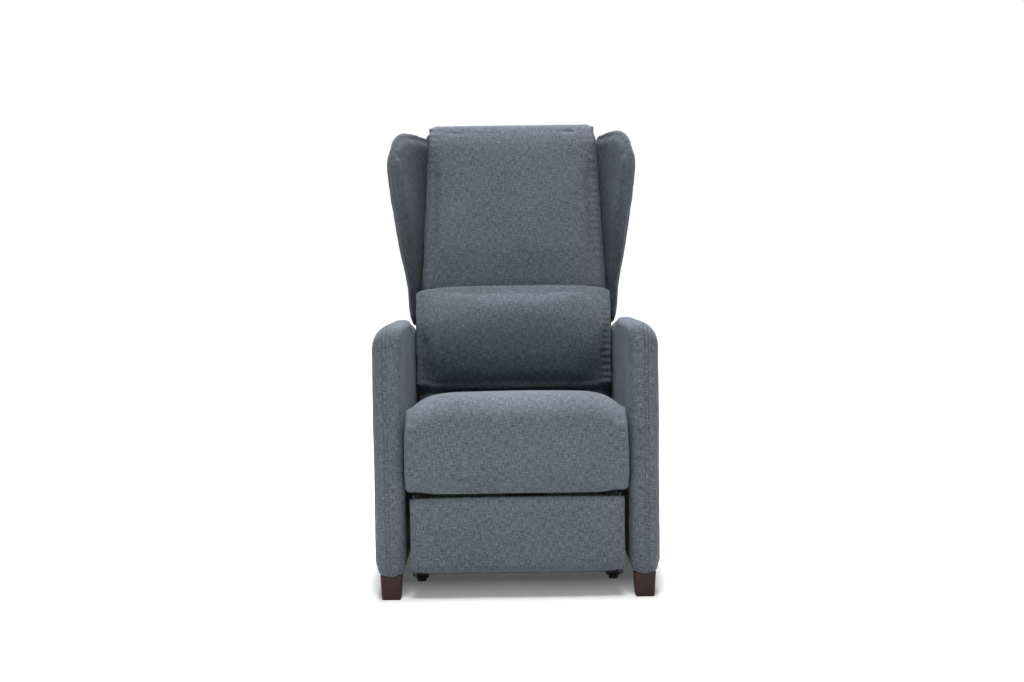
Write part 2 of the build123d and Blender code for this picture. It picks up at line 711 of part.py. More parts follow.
save(both(hanger), "footrest_brackets")
hanger_pin = pin(cross_top, small_pin, main_in, cross_out + 0.3)
hanger_pin += pin(second_top, small_pin, main_in, cross_out + 0.3)
save(both(hanger_pin), "footrest_bracket_pins")
save(both(screws), "footrest_screws")
save(board, "footrest_board")

pad_rear = board_back - board_thick - soft_gap
pad_half = arm_inner - 10


def pad_section(x, draw, crown):
    low = board_low - 4
    high = board_high + 6
    front = arm_front - crown + draw * 0.5
    sketch = outline([
        (pad_rear, low + draw), (pad_rear, high - draw), (front + 5, high - draw), (front, high - 8 - draw),
        (front, low + 8 + draw), (front + 5, low + draw),
    ])
    return (Plane.YZ.offset(x) * sketch).faces()[0]


pad_faces = []
for step in range(-4, 5):
    part_way = step / 4
    pad_faces.append(pad_section(part_way * pad_half, 4 * part_way ** 6, 2 * (1 - part_way ** 2)))
save(loft(pad_faces), "footrest_pad")
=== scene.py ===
import bpy
import json
import math
import numpy as np
from mathutils import Matrix, Vector
from mathutils.bvhtree import BVHTree


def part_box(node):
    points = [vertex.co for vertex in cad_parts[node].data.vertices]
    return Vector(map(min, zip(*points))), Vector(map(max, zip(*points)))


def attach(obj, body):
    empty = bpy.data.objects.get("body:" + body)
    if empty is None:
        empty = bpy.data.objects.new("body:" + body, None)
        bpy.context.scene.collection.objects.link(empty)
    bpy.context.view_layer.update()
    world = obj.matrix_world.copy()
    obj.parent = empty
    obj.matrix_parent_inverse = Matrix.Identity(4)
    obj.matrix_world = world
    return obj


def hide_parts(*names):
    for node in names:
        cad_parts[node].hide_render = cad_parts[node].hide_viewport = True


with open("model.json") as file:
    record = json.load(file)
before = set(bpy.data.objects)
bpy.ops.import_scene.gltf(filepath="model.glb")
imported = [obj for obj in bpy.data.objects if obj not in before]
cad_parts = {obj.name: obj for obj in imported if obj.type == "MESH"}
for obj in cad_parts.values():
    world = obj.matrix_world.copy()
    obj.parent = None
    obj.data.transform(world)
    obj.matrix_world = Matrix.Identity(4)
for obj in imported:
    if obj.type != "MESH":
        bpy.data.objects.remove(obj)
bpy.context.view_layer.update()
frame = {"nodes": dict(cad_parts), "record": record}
scene = bpy.context.scene
scene.view_settings.view_transform = "Standard"
print("frame loaded")

lean = math.radians(12)
hingeY, hingeZ = 0.185, 0.330
armLo, armHi = (Vector(p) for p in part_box("arm_cover_right"))


# picking, applying and copying

def pick(obj):
    bpy.ops.object.select_all(action="DESELECT")
    obj.select_set(True)
    bpy.context.view_layer.objects.active = obj


def applyMod(obj, mod):
    pick(obj)
    bpy.ops.object.modifier_apply(modifier=mod.name)


def shadeSmooth(obj):
    pick(obj)
    bpy.ops.object.shade_smooth()


def editMesh(obj, *steps):
    pick(obj)
    bpy.ops.object.mode_set(mode="EDIT")
    bpy.ops.mesh.select_all(action="SELECT")
    for step in steps:
        step()
    bpy.ops.object.mode_set(mode="OBJECT")


def mergeDoubles():
    bpy.ops.mesh.remove_doubles(threshold=0.00002)


def copyOf(node, name):
    obj = bpy.data.objects.new(name, frame["nodes"][node].data.copy())
    scene.collection.objects.link(obj)
    obj.data.materials.clear()
    editMesh(obj, mergeDoubles)
    return obj


def mirrorOf(obj, name):
    other = bpy.data.objects.new(name, obj.data.copy())
    scene.collection.objects.link(other)
    points = grab(other)[0]
    points[:, 0] *= -1
    put(other, points)
    editMesh(other, bpy.ops.mesh.flip_normals)
    shadeSmooth(other)
    return other


def grab(obj):
    count = len(obj.data.vertices)
    points = np.empty(count * 3)
    normals = np.empty(count * 3)
    obj.data.vertices.foreach_get("co", points)
    obj.data.vertices.foreach_get("normal", normals)
    return points.reshape(-1, 3), normals.reshape(-1, 3)


def put(obj, points):
    obj.data.vertices.foreach_set("co", np.ascontiguousarray(points).ravel())
    obj.data.update()


# points of the leaning back as (x, w to the rear, v up along the back)

def toBack(points):
    dy = points[:, 1] - hingeY
    dz = points[:, 2] - hingeZ
    w = dy * math.cos(lean) - dz * math.sin(lean)
    v = dy * math.sin(lean) + dz * math.cos(lean)
    return np.column_stack([points[:, 0], w, v])


def fromBack(local):
    y = hingeY + local[:, 1] * math.cos(lean) + local[:, 2] * math.sin(lean)
    z = hingeZ - local[:, 1] * math.sin(lean) + local[:, 2] * math.cos(lean)
    return np.column_stack([local[:, 0], y, z])


backHalf = {"low": 0.257, "high": 0.235, "shoulder": 0.364, "top": 0.820}


def backHalfAt(v):
    share = np.clip((v - backHalf["shoulder"]) / (backHalf["top"] - backHalf["shoulder"]), 0, None)
    return backHalf["low"] + (backHalf["high"] - backHalf["low"]) * share


# soft pieces: even skin, swell under pressure, cap, finer skin

def relax(obj, factor, times):
    mod = obj.modifiers.new("Relax", "SMOOTH")
    mod.factor = factor
    mod.iterations = times
    applyMod(obj, mod)


def evenSkin(obj, size, smooth):
    mod = obj.modifiers.new("Skin", "REMESH")
    mod.mode = "VOXEL"
    mod.voxel_size = size
    applyMod(obj, mod)
    relax(obj, 0.5, smooth)


clothRun = {
    "steps": 20, "quality": 4, "mass": 0.3, "shear": 4, "bend": 0.4, "hold": 0.002, "slide": 0.4,
    "quickPuff": 0.002,
}


def swell(obj, spec):
    plain, facing = grab(obj)
    start = plain - facing * spec["inset"]
    put(obj, start)
    mod = obj.modifiers.new("Swell", "CLOTH")
    cloth = mod.settings
    cloth.quality = clothRun["quality"]
    cloth.mass = clothRun["mass"]
    cloth.tension_stiffness = spec["stiff"]
    cloth.compression_stiffness = spec["stiff"]
    cloth.shear_stiffness = clothRun["shear"]
    cloth.bending_stiffness = clothRun["bend"]
    cloth.use_pressure = True
    cloth.uniform_pressure_force = spec["pressure"]
    cloth.effector_weights.gravity = 0
    mod.collision_settings.use_collision = False
    mod.point_cache.frame_start = 1
    mod.point_cache.frame_end = clothRun["steps"]
    for step in range(1, clothRun["steps"] + 1):
        scene.frame_set(step)
    applyMod(obj, mod)
    scene.frame_set(1)
    move = grab(obj)[0] - start
    length = np.linalg.norm(move, axis=1, keepdims=True)
    shift = start + move * np.minimum(1, spec["cap"] / np.maximum(length, 1e-9)) - plain
    out = np.sum(shift * facing, axis=1, keepdims=True)
    slide = shift - facing * out
    put(obj, plain + facing * np.maximum(out, -clothRun["hold"]) + slide * clothRun["slide"])


def finer(obj):
    mod = obj.modifiers.new("Finer", "SUBSURF")
    mod.levels = 1
    mod.render_levels = 1
    applyMod(obj, mod)
    shadeSmooth(obj)


def keepWithin(obj, limit):
    put(obj, limit(grab(obj)[0]))


def bell(distance, width):
    return np.exp(-(distance / width) ** 2)


def ripple(along, pitch, shift=0.0):
    return np.sin(2 * math.pi * along / pitch + 1.6 * np.sin(along / 0.047 + shift) + shift) * (
        0.62 + 0.38 * np.sin(along / 0.083 + 2.1 * shift))


# depth of a sewn seam where gap is nought, with the puckers gathered beside it
def sewnIn(spec, gap, along, shift=0.0):
    seam = spec["seamDeep"] * bell(gap, spec["seamWide"])
    fold = ripple(along, spec["puckerPitch"], shift)
    return seam + spec["puckerDeep"] * bell(gap - spec["puckerIn"], spec["puckerWide"]) * fold


def lineDistance(points, line):
    best = np.full(len(points), 9.0)
    along = np.zeros(len(points))
    run = 0.0
    for first, last in zip(line[:-1], line[1:]):
        step = last - first
        size = np.linalg.norm(step)
        share = np.clip((points - first) @ step / size ** 2, 0, 1)
        gap = np.linalg.norm(points - first - share[:, None] * step, axis=1)
        near = gap < best
        best[near] = gap[near]
        along[near] = run + share[near] * size
        run += size
    return best, along


# shader nodes

def newGroup(name, takes, gives):
    group = bpy.data.node_groups.new(name, "ShaderNodeTree")
    for label, kind, value in takes:
        socket = group.interface.new_socket(label, in_out="INPUT", socket_type=kind)
        if value is not None:
            socket.default_value = value
    for label in gives:
        group.interface.new_socket(label, in_out="OUTPUT", socket_type="NodeSocketFloat")
    return group, group.nodes.new("NodeGroupInput"), group.nodes.new("NodeGroupOutput")


def math2(tree, kind, first, second):
    node = tree.nodes.new("ShaderNodeMath")
    node.operation = kind
    for i, value in enumerate((first, second)):
        if isinstance(value, (int, float)):
            node.inputs[i].default_value = value
        elif value is not None:
            tree.links.new(value, node.inputs[i])
    return node.outputs[0]


def noiseAt(tree, vector, stretch, detail, rough=0.55):
    scaled = tree.nodes.new("ShaderNodeVectorMath")
    scaled.operation = "MULTIPLY"
    scaled.inputs[1].default_value = stretch
    tree.links.new(vector, scaled.inputs[0])
    noise = tree.nodes.new("ShaderNodeTexNoise")
    noise.inputs["Scale"].default_value = 1
    noise.inputs["Detail"].default_value = detail
    noise.inputs["Roughness"].default_value = rough
    tree.links.new(scaled.outputs[0], noise.inputs["Vector"])
    return noise.outputs[0]


def rampOf(tree, value, stops):
    node = tree.nodes.new("ShaderNodeValToRGB")
    ramp = node.color_ramp
    while len(ramp.elements) < len(stops):
        ramp.elements.new(0.5)
    for element, (place, colour) in zip(ramp.elements, stops):
        element.position = place
        element.color = (*colour, 1)
    tree.links.new(value, node.inputs[0])
    return node.outputs[0]


def rangeOf(tree, value, low, high, fromLow=0.0, fromHigh=1.0):
    node = tree.nodes.new("ShaderNodeMapRange")
    node.inputs["From Min"].default_value = fromLow
    node.inputs["From Max"].default_value = fromHigh
    node.inputs["To Min"].default_value = low
    node.inputs["To Max"].default_value = high
    tree.links.new(value, node.inputs["Value"])
    return node.outputs[0]


def placed(tree, group, links, **values):
    node = tree.nodes.new("ShaderNodeGroup")
    node.node_tree = group
    for label, value in values.items():
        node.inputs[label].default_value = value
    for label, source in links.items():
        tree.links.new(source, node.inputs[label])
    return node


def newFinish(name, colour, rough, metal=0.0):
    material = bpy.data.materials.new(name)
    material.use_nodes = True
    tree = material.node_tree
    shader = tree.nodes["Principled BSDF"]
    shader.inputs["Roughness"].default_value = rough
    shader.inputs["Metallic"].default_value = metal
    shader.inputs["Base Color"].default_value = (*colour, 1)
    material.diffuse_color = (*colour, 1)
    place = tree.nodes.new("ShaderNodeTexCoord")
    return material, tree, shader, place


def bumped(tree, shader, height, strength, distance):
    bump = tree.nodes.new("ShaderNodeBump")
    bump.inputs["Strength"].default_value = strength
    bump.inputs["Distance"].default_value = distance
    tree.links.new(height, bump.inputs["Height"])
    tree.links.new(bump.outputs[0], shader.inputs["Normal"])


# one flat patch of heathered plain weave, u across and v along the threads
weaveSpec = {"pitch": 0.0017, "slubLong": 72, "slubThin": 500, "fleck": 760}


def makeWeave():
    group, start, end = newGroup("heatherWeave", [("Vector", "NodeSocketVector", None)], ["Tone", "Height"])
    flat = start.outputs["Vector"]
    split = group.nodes.new("ShaderNodeSeparateXYZ")
    group.links.new(flat, split.inputs[0])
    turn = 2 * math.pi / weaveSpec["pitch"]
    across = math2(group, "SINE", math2(group, "MULTIPLY", split.outputs[0], turn), None)
    along = math2(group, "SINE", math2(group, "MULTIPLY", split.outputs[1], turn), None)
    cross = math2(group, "MULTIPLY", across, along)
    weft = noiseAt(group, flat, (weaveSpec["slubLong"], weaveSpec["slubThin"], 0), 2, 0.6)
    warp = noiseAt(group, flat, (weaveSpec["slubThin"], weaveSpec["slubLong"], 0), 2, 0.6)
    fleck = noiseAt(group, flat, (weaveSpec["fleck"], weaveSpec["fleck"], 0), 1, 0.5)
    tone = math2(group, "ADD", math2(group, "MULTIPLY", weft, 0.41), math2(group, "MULTIPLY", warp, 0.41))
    tone = math2(group, "ADD", tone, math2(group, "MULTIPLY", fleck, 0.18))
    group.links.new(tone, end.inputs["Tone"])
    lift = math2(group, "ADD", math2(group, "MULTIPLY", cross, 0.5), tone)
    group.links.new(lift, end.inputs["Height"])
    return group


# the weave laid on front, top and side by the way a surface faces
def makeClothSkin(weave):
    takes = [("Vector", "NodeSocketVector", None), ("Facing", "NodeSocketVector", None)]
    group, start, end = newGroup("clothSkin", takes, ["Tone", "Height"])
    split = group.nodes.new("ShaderNodeSeparateXYZ")
    group.links.new(start.outputs["Vector"], split.inputs[0])
    facing = group.nodes.new("ShaderNodeSeparateXYZ")
    group.links.new(start.outputs["Facing"], facing.inputs[0])
    shares = []
    for i in range(3):
        square = math2(group, "MULTIPLY", facing.outputs[i], facing.outputs[i])
        shares.append(math2(group, "MULTIPLY", square, square))
    total = math2(group, "ADD", math2(group, "ADD", shares[0], shares[1]), shares[2])
    tone = None
    height = None
    for share, (u, v) in zip(shares, ((1, 2), (0, 2), (0, 1))):
        flat = group.nodes.new("ShaderNodeCombineXYZ")
        group.links.new(split.outputs[u], flat.inputs[0])
        group.links.new(split.outputs[v], flat.inputs[1])
        patch = placed(group, weave, {"Vector": flat.outputs[0]})
        part = math2(group, "DIVIDE", share, total)
        toneHere = math2(group, "MULTIPLY", patch.outputs["Tone"], part)
        heightHere = math2(group, "MULTIPLY", patch.outputs["Height"], part)
        tone = toneHere if tone is None else math2(group, "ADD", tone, toneHere)
        height = heightHere if height is None else math2(group, "ADD", height, heightHere)
    group.links.new(tone, end.inputs["Tone"])
    group.links.new(height, end.inputs["Height"])
    return group


# mottled fine grain of painted, plated and moulded surfaces
def makeGrain():
    takes = [("Vector", "NodeSocketVector", None), ("Scale", "NodeSocketFloat", 100.0)]
    group, start, end = newGroup("fineGrain", takes, ["Mottle", "Height"])
    scaled = group.nodes.new("ShaderNodeVectorMath")
    scaled.operation = "SCALE"
    group.links.new(start.outputs["Vector"], scaled.inputs[0])
    group.links.new(start.outputs["Scale"], scaled.inputs["Scale"])
    mottle = noiseAt(group, scaled.outputs[0], (0.06, 0.06, 0.06), 3, 0.6)
    fine = noiseAt(group, scaled.outputs[0], (1, 1, 1), 2, 0.5)
    group.links.new(mottle, end.inputs["Mottle"])
    group.links.new(fine, end.inputs["Height"])
    return group


# long grain of wood along the chosen stretch
def makeWoodGrain():
    takes = [("Vector", "NodeSocketVector", None), ("Stretch", "NodeSocketVector", (90.0, 90.0, 7.0))]
    group, start, end = newGroup("woodGrain", takes, ["Band", "Pore"])
    scaled = group.nodes.new("ShaderNodeVectorMath")
    scaled.operation = "MULTIPLY"
    group.links.new(start.outputs["Vector"], scaled.inputs[0])
    group.links.new(start.outputs["Stretch"], scaled.inputs[1])
    band = noiseAt(group, scaled.outputs[0], (1, 1, 1), 4, 0.6)
    pore = noiseAt(group, scaled.outputs[0], (7, 7, 3), 2, 0.5)
    group.links.new(band, end.inputs["Band"])
    group.links.new(pore, end.inputs["Pore"])
    return group


weaveGroup = makeWeave()
clothGroup = makeClothSkin(weaveGroup)
grainGroup = makeGrain()
woodGroup = makeWoodGrain()

clothSpec = {
    "dark": (0.038, 0.046, 0.061), "shade": (0.095, 0.110, 0.137), "mid": (0.154, 0.174, 0.210),
    "light": (0.244, 0.269, 0.313), "fleck": (0.39, 0.42, 0.465),
}


# an optional span of |x| and factors paints shade into the colour: it is scaled down by distance from the
# middle, darkest towards the back cushion
def makeCloth(name, paintedShadeSpan=None):
    material, tree, shader, place = newFinish(name, clothSpec["mid"], 0.92)
    skin = placed(tree, clothGroup, {"Vector": place.outputs["Object"], "Facing": place.outputs["Normal"]})
    broad = noiseAt(tree, place.outputs["Object"], (9, 9, 9), 2)
    tone = math2(tree, "ADD", skin.outputs["Tone"], rangeOf(tree, broad, -0.025, 0.025))
    stops = ((0.30, "dark"), (0.42, "shade"), (0.51, "mid"), (0.60, "light"), (0.72, "fleck"))
    colour = rampOf(tree, tone, [(at, clothSpec[key]) for at, key in stops])
    # painted shade: colour scaled between two factors by |x|, darker nearer the middle
    if paintedShadeSpan:
        split = tree.nodes.new("ShaderNodeSeparateXYZ")
        tree.links.new(place.outputs["Object"], split.inputs[0])
        out = math2(tree, "ABSOLUTE", split.outputs[0], None)
        paintedShadeFactor = rangeOf(tree, out, paintedShadeSpan[0][1], paintedShadeSpan[1][1], paintedShadeSpan[0][0], paintedShadeSpan[1][0])
        scaled = tree.nodes.new("ShaderNodeVectorMath")
        scaled.operation = "SCALE"
        tree.links.new(colour, scaled.inputs[0])
        tree.links.new(paintedShadeFactor, scaled.inputs["Scale"])
        colour = scaled.outputs[0]
    tree.links.new(colour, shader.inputs["Base Color"])
    tree.links.new(rangeOf(tree, tone, 0.98, 0.84, 0.3, 0.7), shader.inputs["Roughness"])
    shader.inputs["Sheen Weight"].default_value = 0.12
    shader.inputs["Sheen Roughness"].default_value = 0.5
    shader.inputs["Sheen Tint"].default_value = (0.82, 0.88, 1, 1)
    shader.inputs["Specular IOR Level"].default_value = 0.2
    bumped(tree, shader, skin.outputs["Height"], 0.45, 0.0008)
    return material


def makeThread():
    material, tree, shader, place = newFinish("seamThread", (0.055, 0.062, 0.078), 0.8)
    twist = noiseAt(tree, place.outputs["Object"], (900, 900, 900), 1)
    tree.links.new(rampOf(tree, twist, [(0.3, (0.035, 0.040, 0.052)), (0.7, (0.085, 0.095, 0.118))]),
                   shader.inputs["Base Color"])
    shader.inputs["Sheen Weight"].default_value = 0.15
    bumped(tree, shader, twist, 0.4, 0.0003)
    return material


def makeWood(name, stops, rough, stretch, coat):
    material, tree, shader, place = newFinish(name, stops[1][1], rough)
    grain = placed(tree, woodGroup, {"Vector": place.outputs["Object"]}, Stretch=stretch)
    band = math2(tree, "ADD", math2(tree, "MULTIPLY", grain.outputs["Band"], 0.75),
                 math2(tree, "MULTIPLY", grain.outputs["Pore"], 0.25))
    tree.links.new(rampOf(tree, band, stops), shader.inputs["Base Color"])
    gloss = rangeOf(tree, grain.outputs["Pore"], rough - 0.08, rough + 0.14)
    tree.links.new(gloss, shader.inputs["Roughness"])
    shader.inputs["Specular IOR Level"].default_value = 0.3
    shader.inputs["Coat Weight"].default_value = coat
    shader.inputs["Coat Roughness"].default_value = 0.3
    bumped(tree, shader, band, 0.2, 0.0006)
    return material


def makeGrained(name, low, high, rough, metal, scale, strength):
    material, tree, shader, place = newFinish(name, low, rough, metal)
    grain = placed(tree, grainGroup, {"Vector": place.outputs["Object"]}, Scale=scale)
    colour = rampOf(tree, grain.outputs["Mottle"], [(0.3, low), (0.7, high)])
    tree.links.new(colour, shader.inputs["Base Color"])
    gloss = rangeOf(tree, grain.outputs["Mottle"], rough - 0.1, rough + 0.12, 0.3, 0.7)
    tree.links.new(gloss, shader.inputs["Roughness"])
    bumped(tree, shader, grain.outputs["Height"], strength, 0.0004)
    return material


def makeStrap():
    material, tree, shader, place = newFinish("backStrap", (0.26, 0.22, 0.17), 0.85)
    skin = placed(tree, weaveGroup, {"Vector": place.outputs["Object"]})
    stops = [(0.35, (0.16, 0.13, 0.10)), (0.65, (0.36, 0.31, 0.24))]
    tree.links.new(rampOf(tree, skin.outputs["Tone"], stops), shader.inputs["Base Color"])
    bumped(tree, shader, skin.outputs["Height"], 0.5, 0.0008)
    return material


cloth = makeCloth("greyBlueCloth")
# the wings get a copy of the cloth with painted shade: darker overall and darkest next to the back cushion,
# where shade falls on their inner faces
wingClothPaintedShade = makeCloth("greyBlueWingClothPaintedShade", ((0.240, 0.38), (0.315, 0.78)))
thread = makeThread()
legFinish = makeWood("stainedLeg", [(0.32, (0.015, 0.004, 0.004)), (0.52, (0.032, 0.009, 0.009)),
                                    (0.70, (0.047, 0.014, 0.013))], 0.6, (90.0, 90.0, 7.0), 0.06)
frameFinish = makeWood("plainTimber", [(0.30, (0.36, 0.24, 0.14)), (0.52, (0.52, 0.38, 0.24)),
                                       (0.72, (0.66, 0.51, 0.35))], 0.6, (60.0, 6.0, 60.0), 0.0)
finishes = {
    "leg_wood": legFinish,
    "frame_wood": frameFinish,
    "webbing": makeStrap(),
}
# low and high tone, roughness, metal share, grain scale and grain strength
grainSpec = {
    "black_steel": ("blackSteel", (0.014, 0.014, 0.016), (0.030, 0.030, 0.033), 0.42, 0.0, 1400.0, 0.25),
    "zinc_steel": ("zincSteel", (0.16, 0.16, 0.17), (0.26, 0.26, 0.28), 0.42, 1.0, 900.0, 0.1),
    "black_plastic": ("blackPlastic", (0.016, 0.016, 0.018), (0.034, 0.034, 0.037), 0.5, 0.0, 2000.0, 0.3),
    "rubber": ("gliderRubber", (0.012, 0.012, 0.012), (0.030, 0.030, 0.030), 0.8, 0.0, 1100.0, 0.3),
}
for slotName, look in grainSpec.items():
    finishes[slotName] = makeGrained(*look)
for part in frame["record"]["subparts"]:
    if part["material_slot"] in finishes:
        node = frame["nodes"][part["node"]]
        node.data.materials.clear()
        node.data.materials.append(finishes[part["material_slot"]])
print("finishes made")


def dress(obj, body, nodes, skin=cloth):
    obj.data.materials.clear()
    obj.data.materials.append(skin)
    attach(obj, body)
    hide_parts(*nodes)


# stitches: one small waisted bar, copied along a line on a surface

stitchSpec = {"long": 0.0038, "step": 0.0056, "thick": 0.0008}


def oneStitch():
    bpy.ops.object.select_all(action="DESELECT")
    bpy.ops.mesh.primitive_cylinder_add(vertices=6, radius=stitchSpec["thick"], depth=stitchSpec["long"],
                                        rotation=(0, math.pi / 2, 0))
    obj = bpy.context.object
    bpy.ops.object.transform_apply(location=False, rotation=True, scale=False)
    bpy.ops.object.mode_set(mode="EDIT")
    bpy.ops.mesh.select_all(action="SELECT")
    bpy.ops.mesh.bevel(offset=0.0003, segments=1)
    bpy.ops.object.mode_set(mode="OBJECT")
    points = grab(obj)[0]
    faces = [list(face.vertices) for face in obj.data.polygons]
    bpy.data.objects.remove(obj)
    return points, faces


stitchPoints, stitchFaces = oneStitch()


def sewLine(name, paths, body):
    verts = []
    faces = []
    for spots in paths:
        for place, ahead, out in spots:
            side = out.cross(ahead).normalized()
            turn = np.array([ahead, side, out])
            base = len(verts)
            verts.extend((stitchPoints @ turn + np.array(place)).tolist())
            faces.extend([[base + i for i in face] for face in stitchFaces])
    mesh = bpy.data.meshes.new(name)
    mesh.from_pydata(verts, [], faces)
    obj = bpy.data.objects.new(name, mesh)
    scene.collection.objects.link(obj)
    mesh.materials.append(thread)
    shadeSmooth(obj)
    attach(obj, body)


def treeOf(obj):
    corners = [v.co.copy() for v in obj.data.vertices]
    return BVHTree.FromPolygons(corners, [list(p.vertices) for p in obj.data.polygons])


def laidOn(skin, line, step, sink=0.0001):
    spots = []
    points = [Vector(p) for p in line]
    run = 0.0
    nextAt = step
    for first, last in zip(points[:-1], points[1:]):
        size = (last - first).length
        while nextAt <= run + size:
            at = first.lerp(last, (nextAt - run) / size)
            place, out = skin.find_nearest(at)[:2]
            ahead = (last - first) - out * (last - first).dot(out)
            if ahead.length > 1e-6:
                proud = stitchSpec["thick"] * 0.55 - sink
                spots.append((place + out * proud, ahead.normalized(), out.normalized()))
            nextAt += step
        run += size
    return spots


def flipped(spots):
    return [tuple(Vector((-part.x, part.y, part.z)) for part in spot) for spot in spots]


# padded arms

armSpec = {
    "voxel": 0.006, "inset": 0.004, "cap": 0.0065, "pressure": 3, "stiff": 18,
    "rise": 0.026, "sink": 0.011, "frontTop": 0.048, "rearTop": 0.06, "foot": 0.026, "rim": 0.030,
    "seamFromOut": 0.030, "seamSplit": 0.0040, "levelTo": -0.05, "fall": 0.25, "slope": 0.030,
    "slopeFrom": -0.34, "shoulder": 0.051, "innerRim": 0.030, "fallFrom": 0.35, "roundSteps": 10,
    "rimSteps": 7, "seamDeep": 0.0016, "seamWide": 0.0028, "puckerDeep": 0.0006, "puckerIn": 0,
    "puckerWide": 0.012, "puckerPitch": 0.021, "slack": 0.0009,
    "crossSeam": 0.565, "crossDeep": 0.0012, "crossWide": 0.0025,
}
armTop = armHi.z + armSpec["rise"]
armFoot = armLo.z - armSpec["sink"]


def edgesAlong(obj, axis, test):
    for edge in obj.data.edges:
        first, last = (obj.data.vertices[i].co for i in edge.vertices)
        way = last - first
        straight = abs(way[axis]) > 0.95 * way.length
        edge.select = straight and test((first + last) / 2)


def bevelPicked(obj, offset, segments):
    pick(obj)
    bpy.ops.object.mode_set(mode="EDIT")
    bpy.ops.mesh.select_mode(type="EDGE")
    bpy.ops.mesh.bevel(offset=offset, segments=segments, affect="EDGES")
    bpy.ops.object.mode_set(mode="OBJECT")


def clearPicks(obj):
    for group in (obj.data.vertices, obj.data.edges, obj.data.polygons):
        group.foreach_set("select", [False] * len(group))


def armFall(y, z):
    share = np.clip((z - armSpec["fallFrom"]) / (armTop - armSpec["fallFrom"]), 0, 1)
    drop = armSpec["fall"] * np.clip(y - armSpec["levelTo"], 0, None) ** 2
    return (drop + armSpec["slope"] * np.clip(y - armSpec["slopeFrom"], 0, None)) * share


def makeArm():
    bpy.ops.object.select_all(action="DESELECT")
    low = Vector((armLo.x, armLo.y, armFoot))
    high = Vector((armHi.x, armHi.y, armTop))
    bpy.ops.mesh.primitive_cube_add(size=1, location=(low + high) / 2, scale=high - low)
    arm = bpy.context.object
    arm.name = "armPadRight"
    bpy.ops.object.transform_apply(location=True, rotation=True, scale=True)
    for front, top, radius in ((True, True, armSpec["frontTop"]), (False, True, armSpec["rearTop"]),
                               (True, False, armSpec["foot"]), (False, False, armSpec["foot"])):
        clearPicks(arm)
        edgesAlong(arm, 0, lambda m: (m.y < armLo.y + 0.001) == front and (m.y > armHi.y - 0.001) != front
                   and (m.z > armTop - 0.001) == top and (m.z < armFoot + 0.001) != top)
        bevelPicked(arm, radius, armSpec["roundSteps"])
    clearPicks(arm)
    for edge in arm.data.edges:
        first, last = (arm.data.vertices[i].co for i in edge.vertices)
        edge.select = abs(first.x - last.x) < 1e-5
    bevelPicked(arm, armSpec["rim"], armSpec["rimSteps"])
    evenSkin(arm, armSpec["voxel"], 3)
    points = grab(arm)[0]
    points[:, 2] -= armFall(points[:, 1], points[:, 2])
    put(arm, points)
    swell(arm, armSpec)

    def limit(points):
        points[:, 0] = np.clip(points[:, 0], armLo.x + 0.0006, armHi.x + 0.0035)
        points[:, 2] = np.clip(points[:, 2], armFoot, armTop + 0.003)
        points[:, 1] = np.clip(points[:, 1], armLo.y - 0.004, armHi.y + 0.004)
        return points

    keepWithin(arm, limit)
    points, normals = grab(arm)
    fromFront = np.clip(armLo.y + armSpec["frontTop"] - points[:, 1], 0, armSpec["frontTop"])
    roof = armTop - armSpec["frontTop"] + np.sqrt(armSpec["frontTop"] ** 2 - fromFront ** 2)
    roof -= armFall(points[:, 1], roof)
    sideways = np.clip((1 - np.abs(normals[:, 1])) / 0.5, 0, 1)
    ahead = np.clip((0.06 - points[:, 1]) / 0.06, 0, 1)
    outX = armHi.x - armSpec["shoulder"]
    inX = armLo.x + armSpec["innerRim"]
    for x, side, radius, power, share in ((outX, 1, armSpec["shoulder"], 2, sideways),
                                          (inX, -1, armSpec["innerRim"], 4, sideways * ahead)):
        middle = np.column_stack([np.full(len(points), x), roof - radius])
        ray = points[:, [0, 2]] - middle
        size = np.sum(np.abs(ray) ** power, axis=1) ** (1 / power)
        crown = (ray[:, 0] * side > 0) & (ray[:, 1] > 0) & (size > 0.5 * radius)
        grow = 1 + (radius / np.maximum(size, 1e-6) - 1) * crown * share
        points[:, [0, 2]] = middle + ray * grow[:, None]
    put(arm, points)
    relax(arm, 0.4, 2)
    keepWithin(arm, limit)
    finer(arm)
    points, normals = grab(arm)
    seam = armHi.x - armSpec["seamFromOut"]
    rim = np.clip(1.25 - np.abs(normals[:, 0]), 0, 1) * (normals[:, 2] > -0.5)
    dent = sewnIn(armSpec, points[:, 0] - seam, points[:, 2] - points[:, 1]) * rim
    slack = np.sin(points[:, 1] * 17 + points[:, 2] * 9) * np.sin(points[:, 2] * 15 - 1.0) * (1 - rim)
    put(arm, points + normals * (armSpec["slack"] * slack - dent)[:, None])
    relax(arm, 0.3, 1)
    return arm


def armSeamLine(x):
    y0, y1, z1 = armLo.y, armHi.y, armTop
    big = armSpec["frontTop"]
    line = [(x, y0, z) for z in np.linspace(0.080, z1 - big, 25)]
    for turn in np.linspace(0, math.pi / 2, 14):
        line.append((x, y0 + big - big * math.cos(turn), z1 - big + big * math.sin(turn)))
    line += [(x, y, z1 - armFall(y, z1)) for y in np.linspace(y0 + big, y1 - 0.055, 26)[1:]]
    line += [(x, y1, z) for z in np.linspace(z1 - 0.09, 0.09, 24)]
    return line


# a level seam across the front of the left arm
def pressCrossSeam(arm):
    points, normals = grab(arm)
    inner = np.clip((points[:, 0] + armHi.x - armSpec["seamFromOut"]) / 0.004, 0, 1)
    dent = armSpec["crossDeep"] * bell(points[:, 2] - armSpec["crossSeam"], armSpec["crossWide"])
    put(arm, points - normals * (dent * inner * (points[:, 1] < -0.33))[:, None])


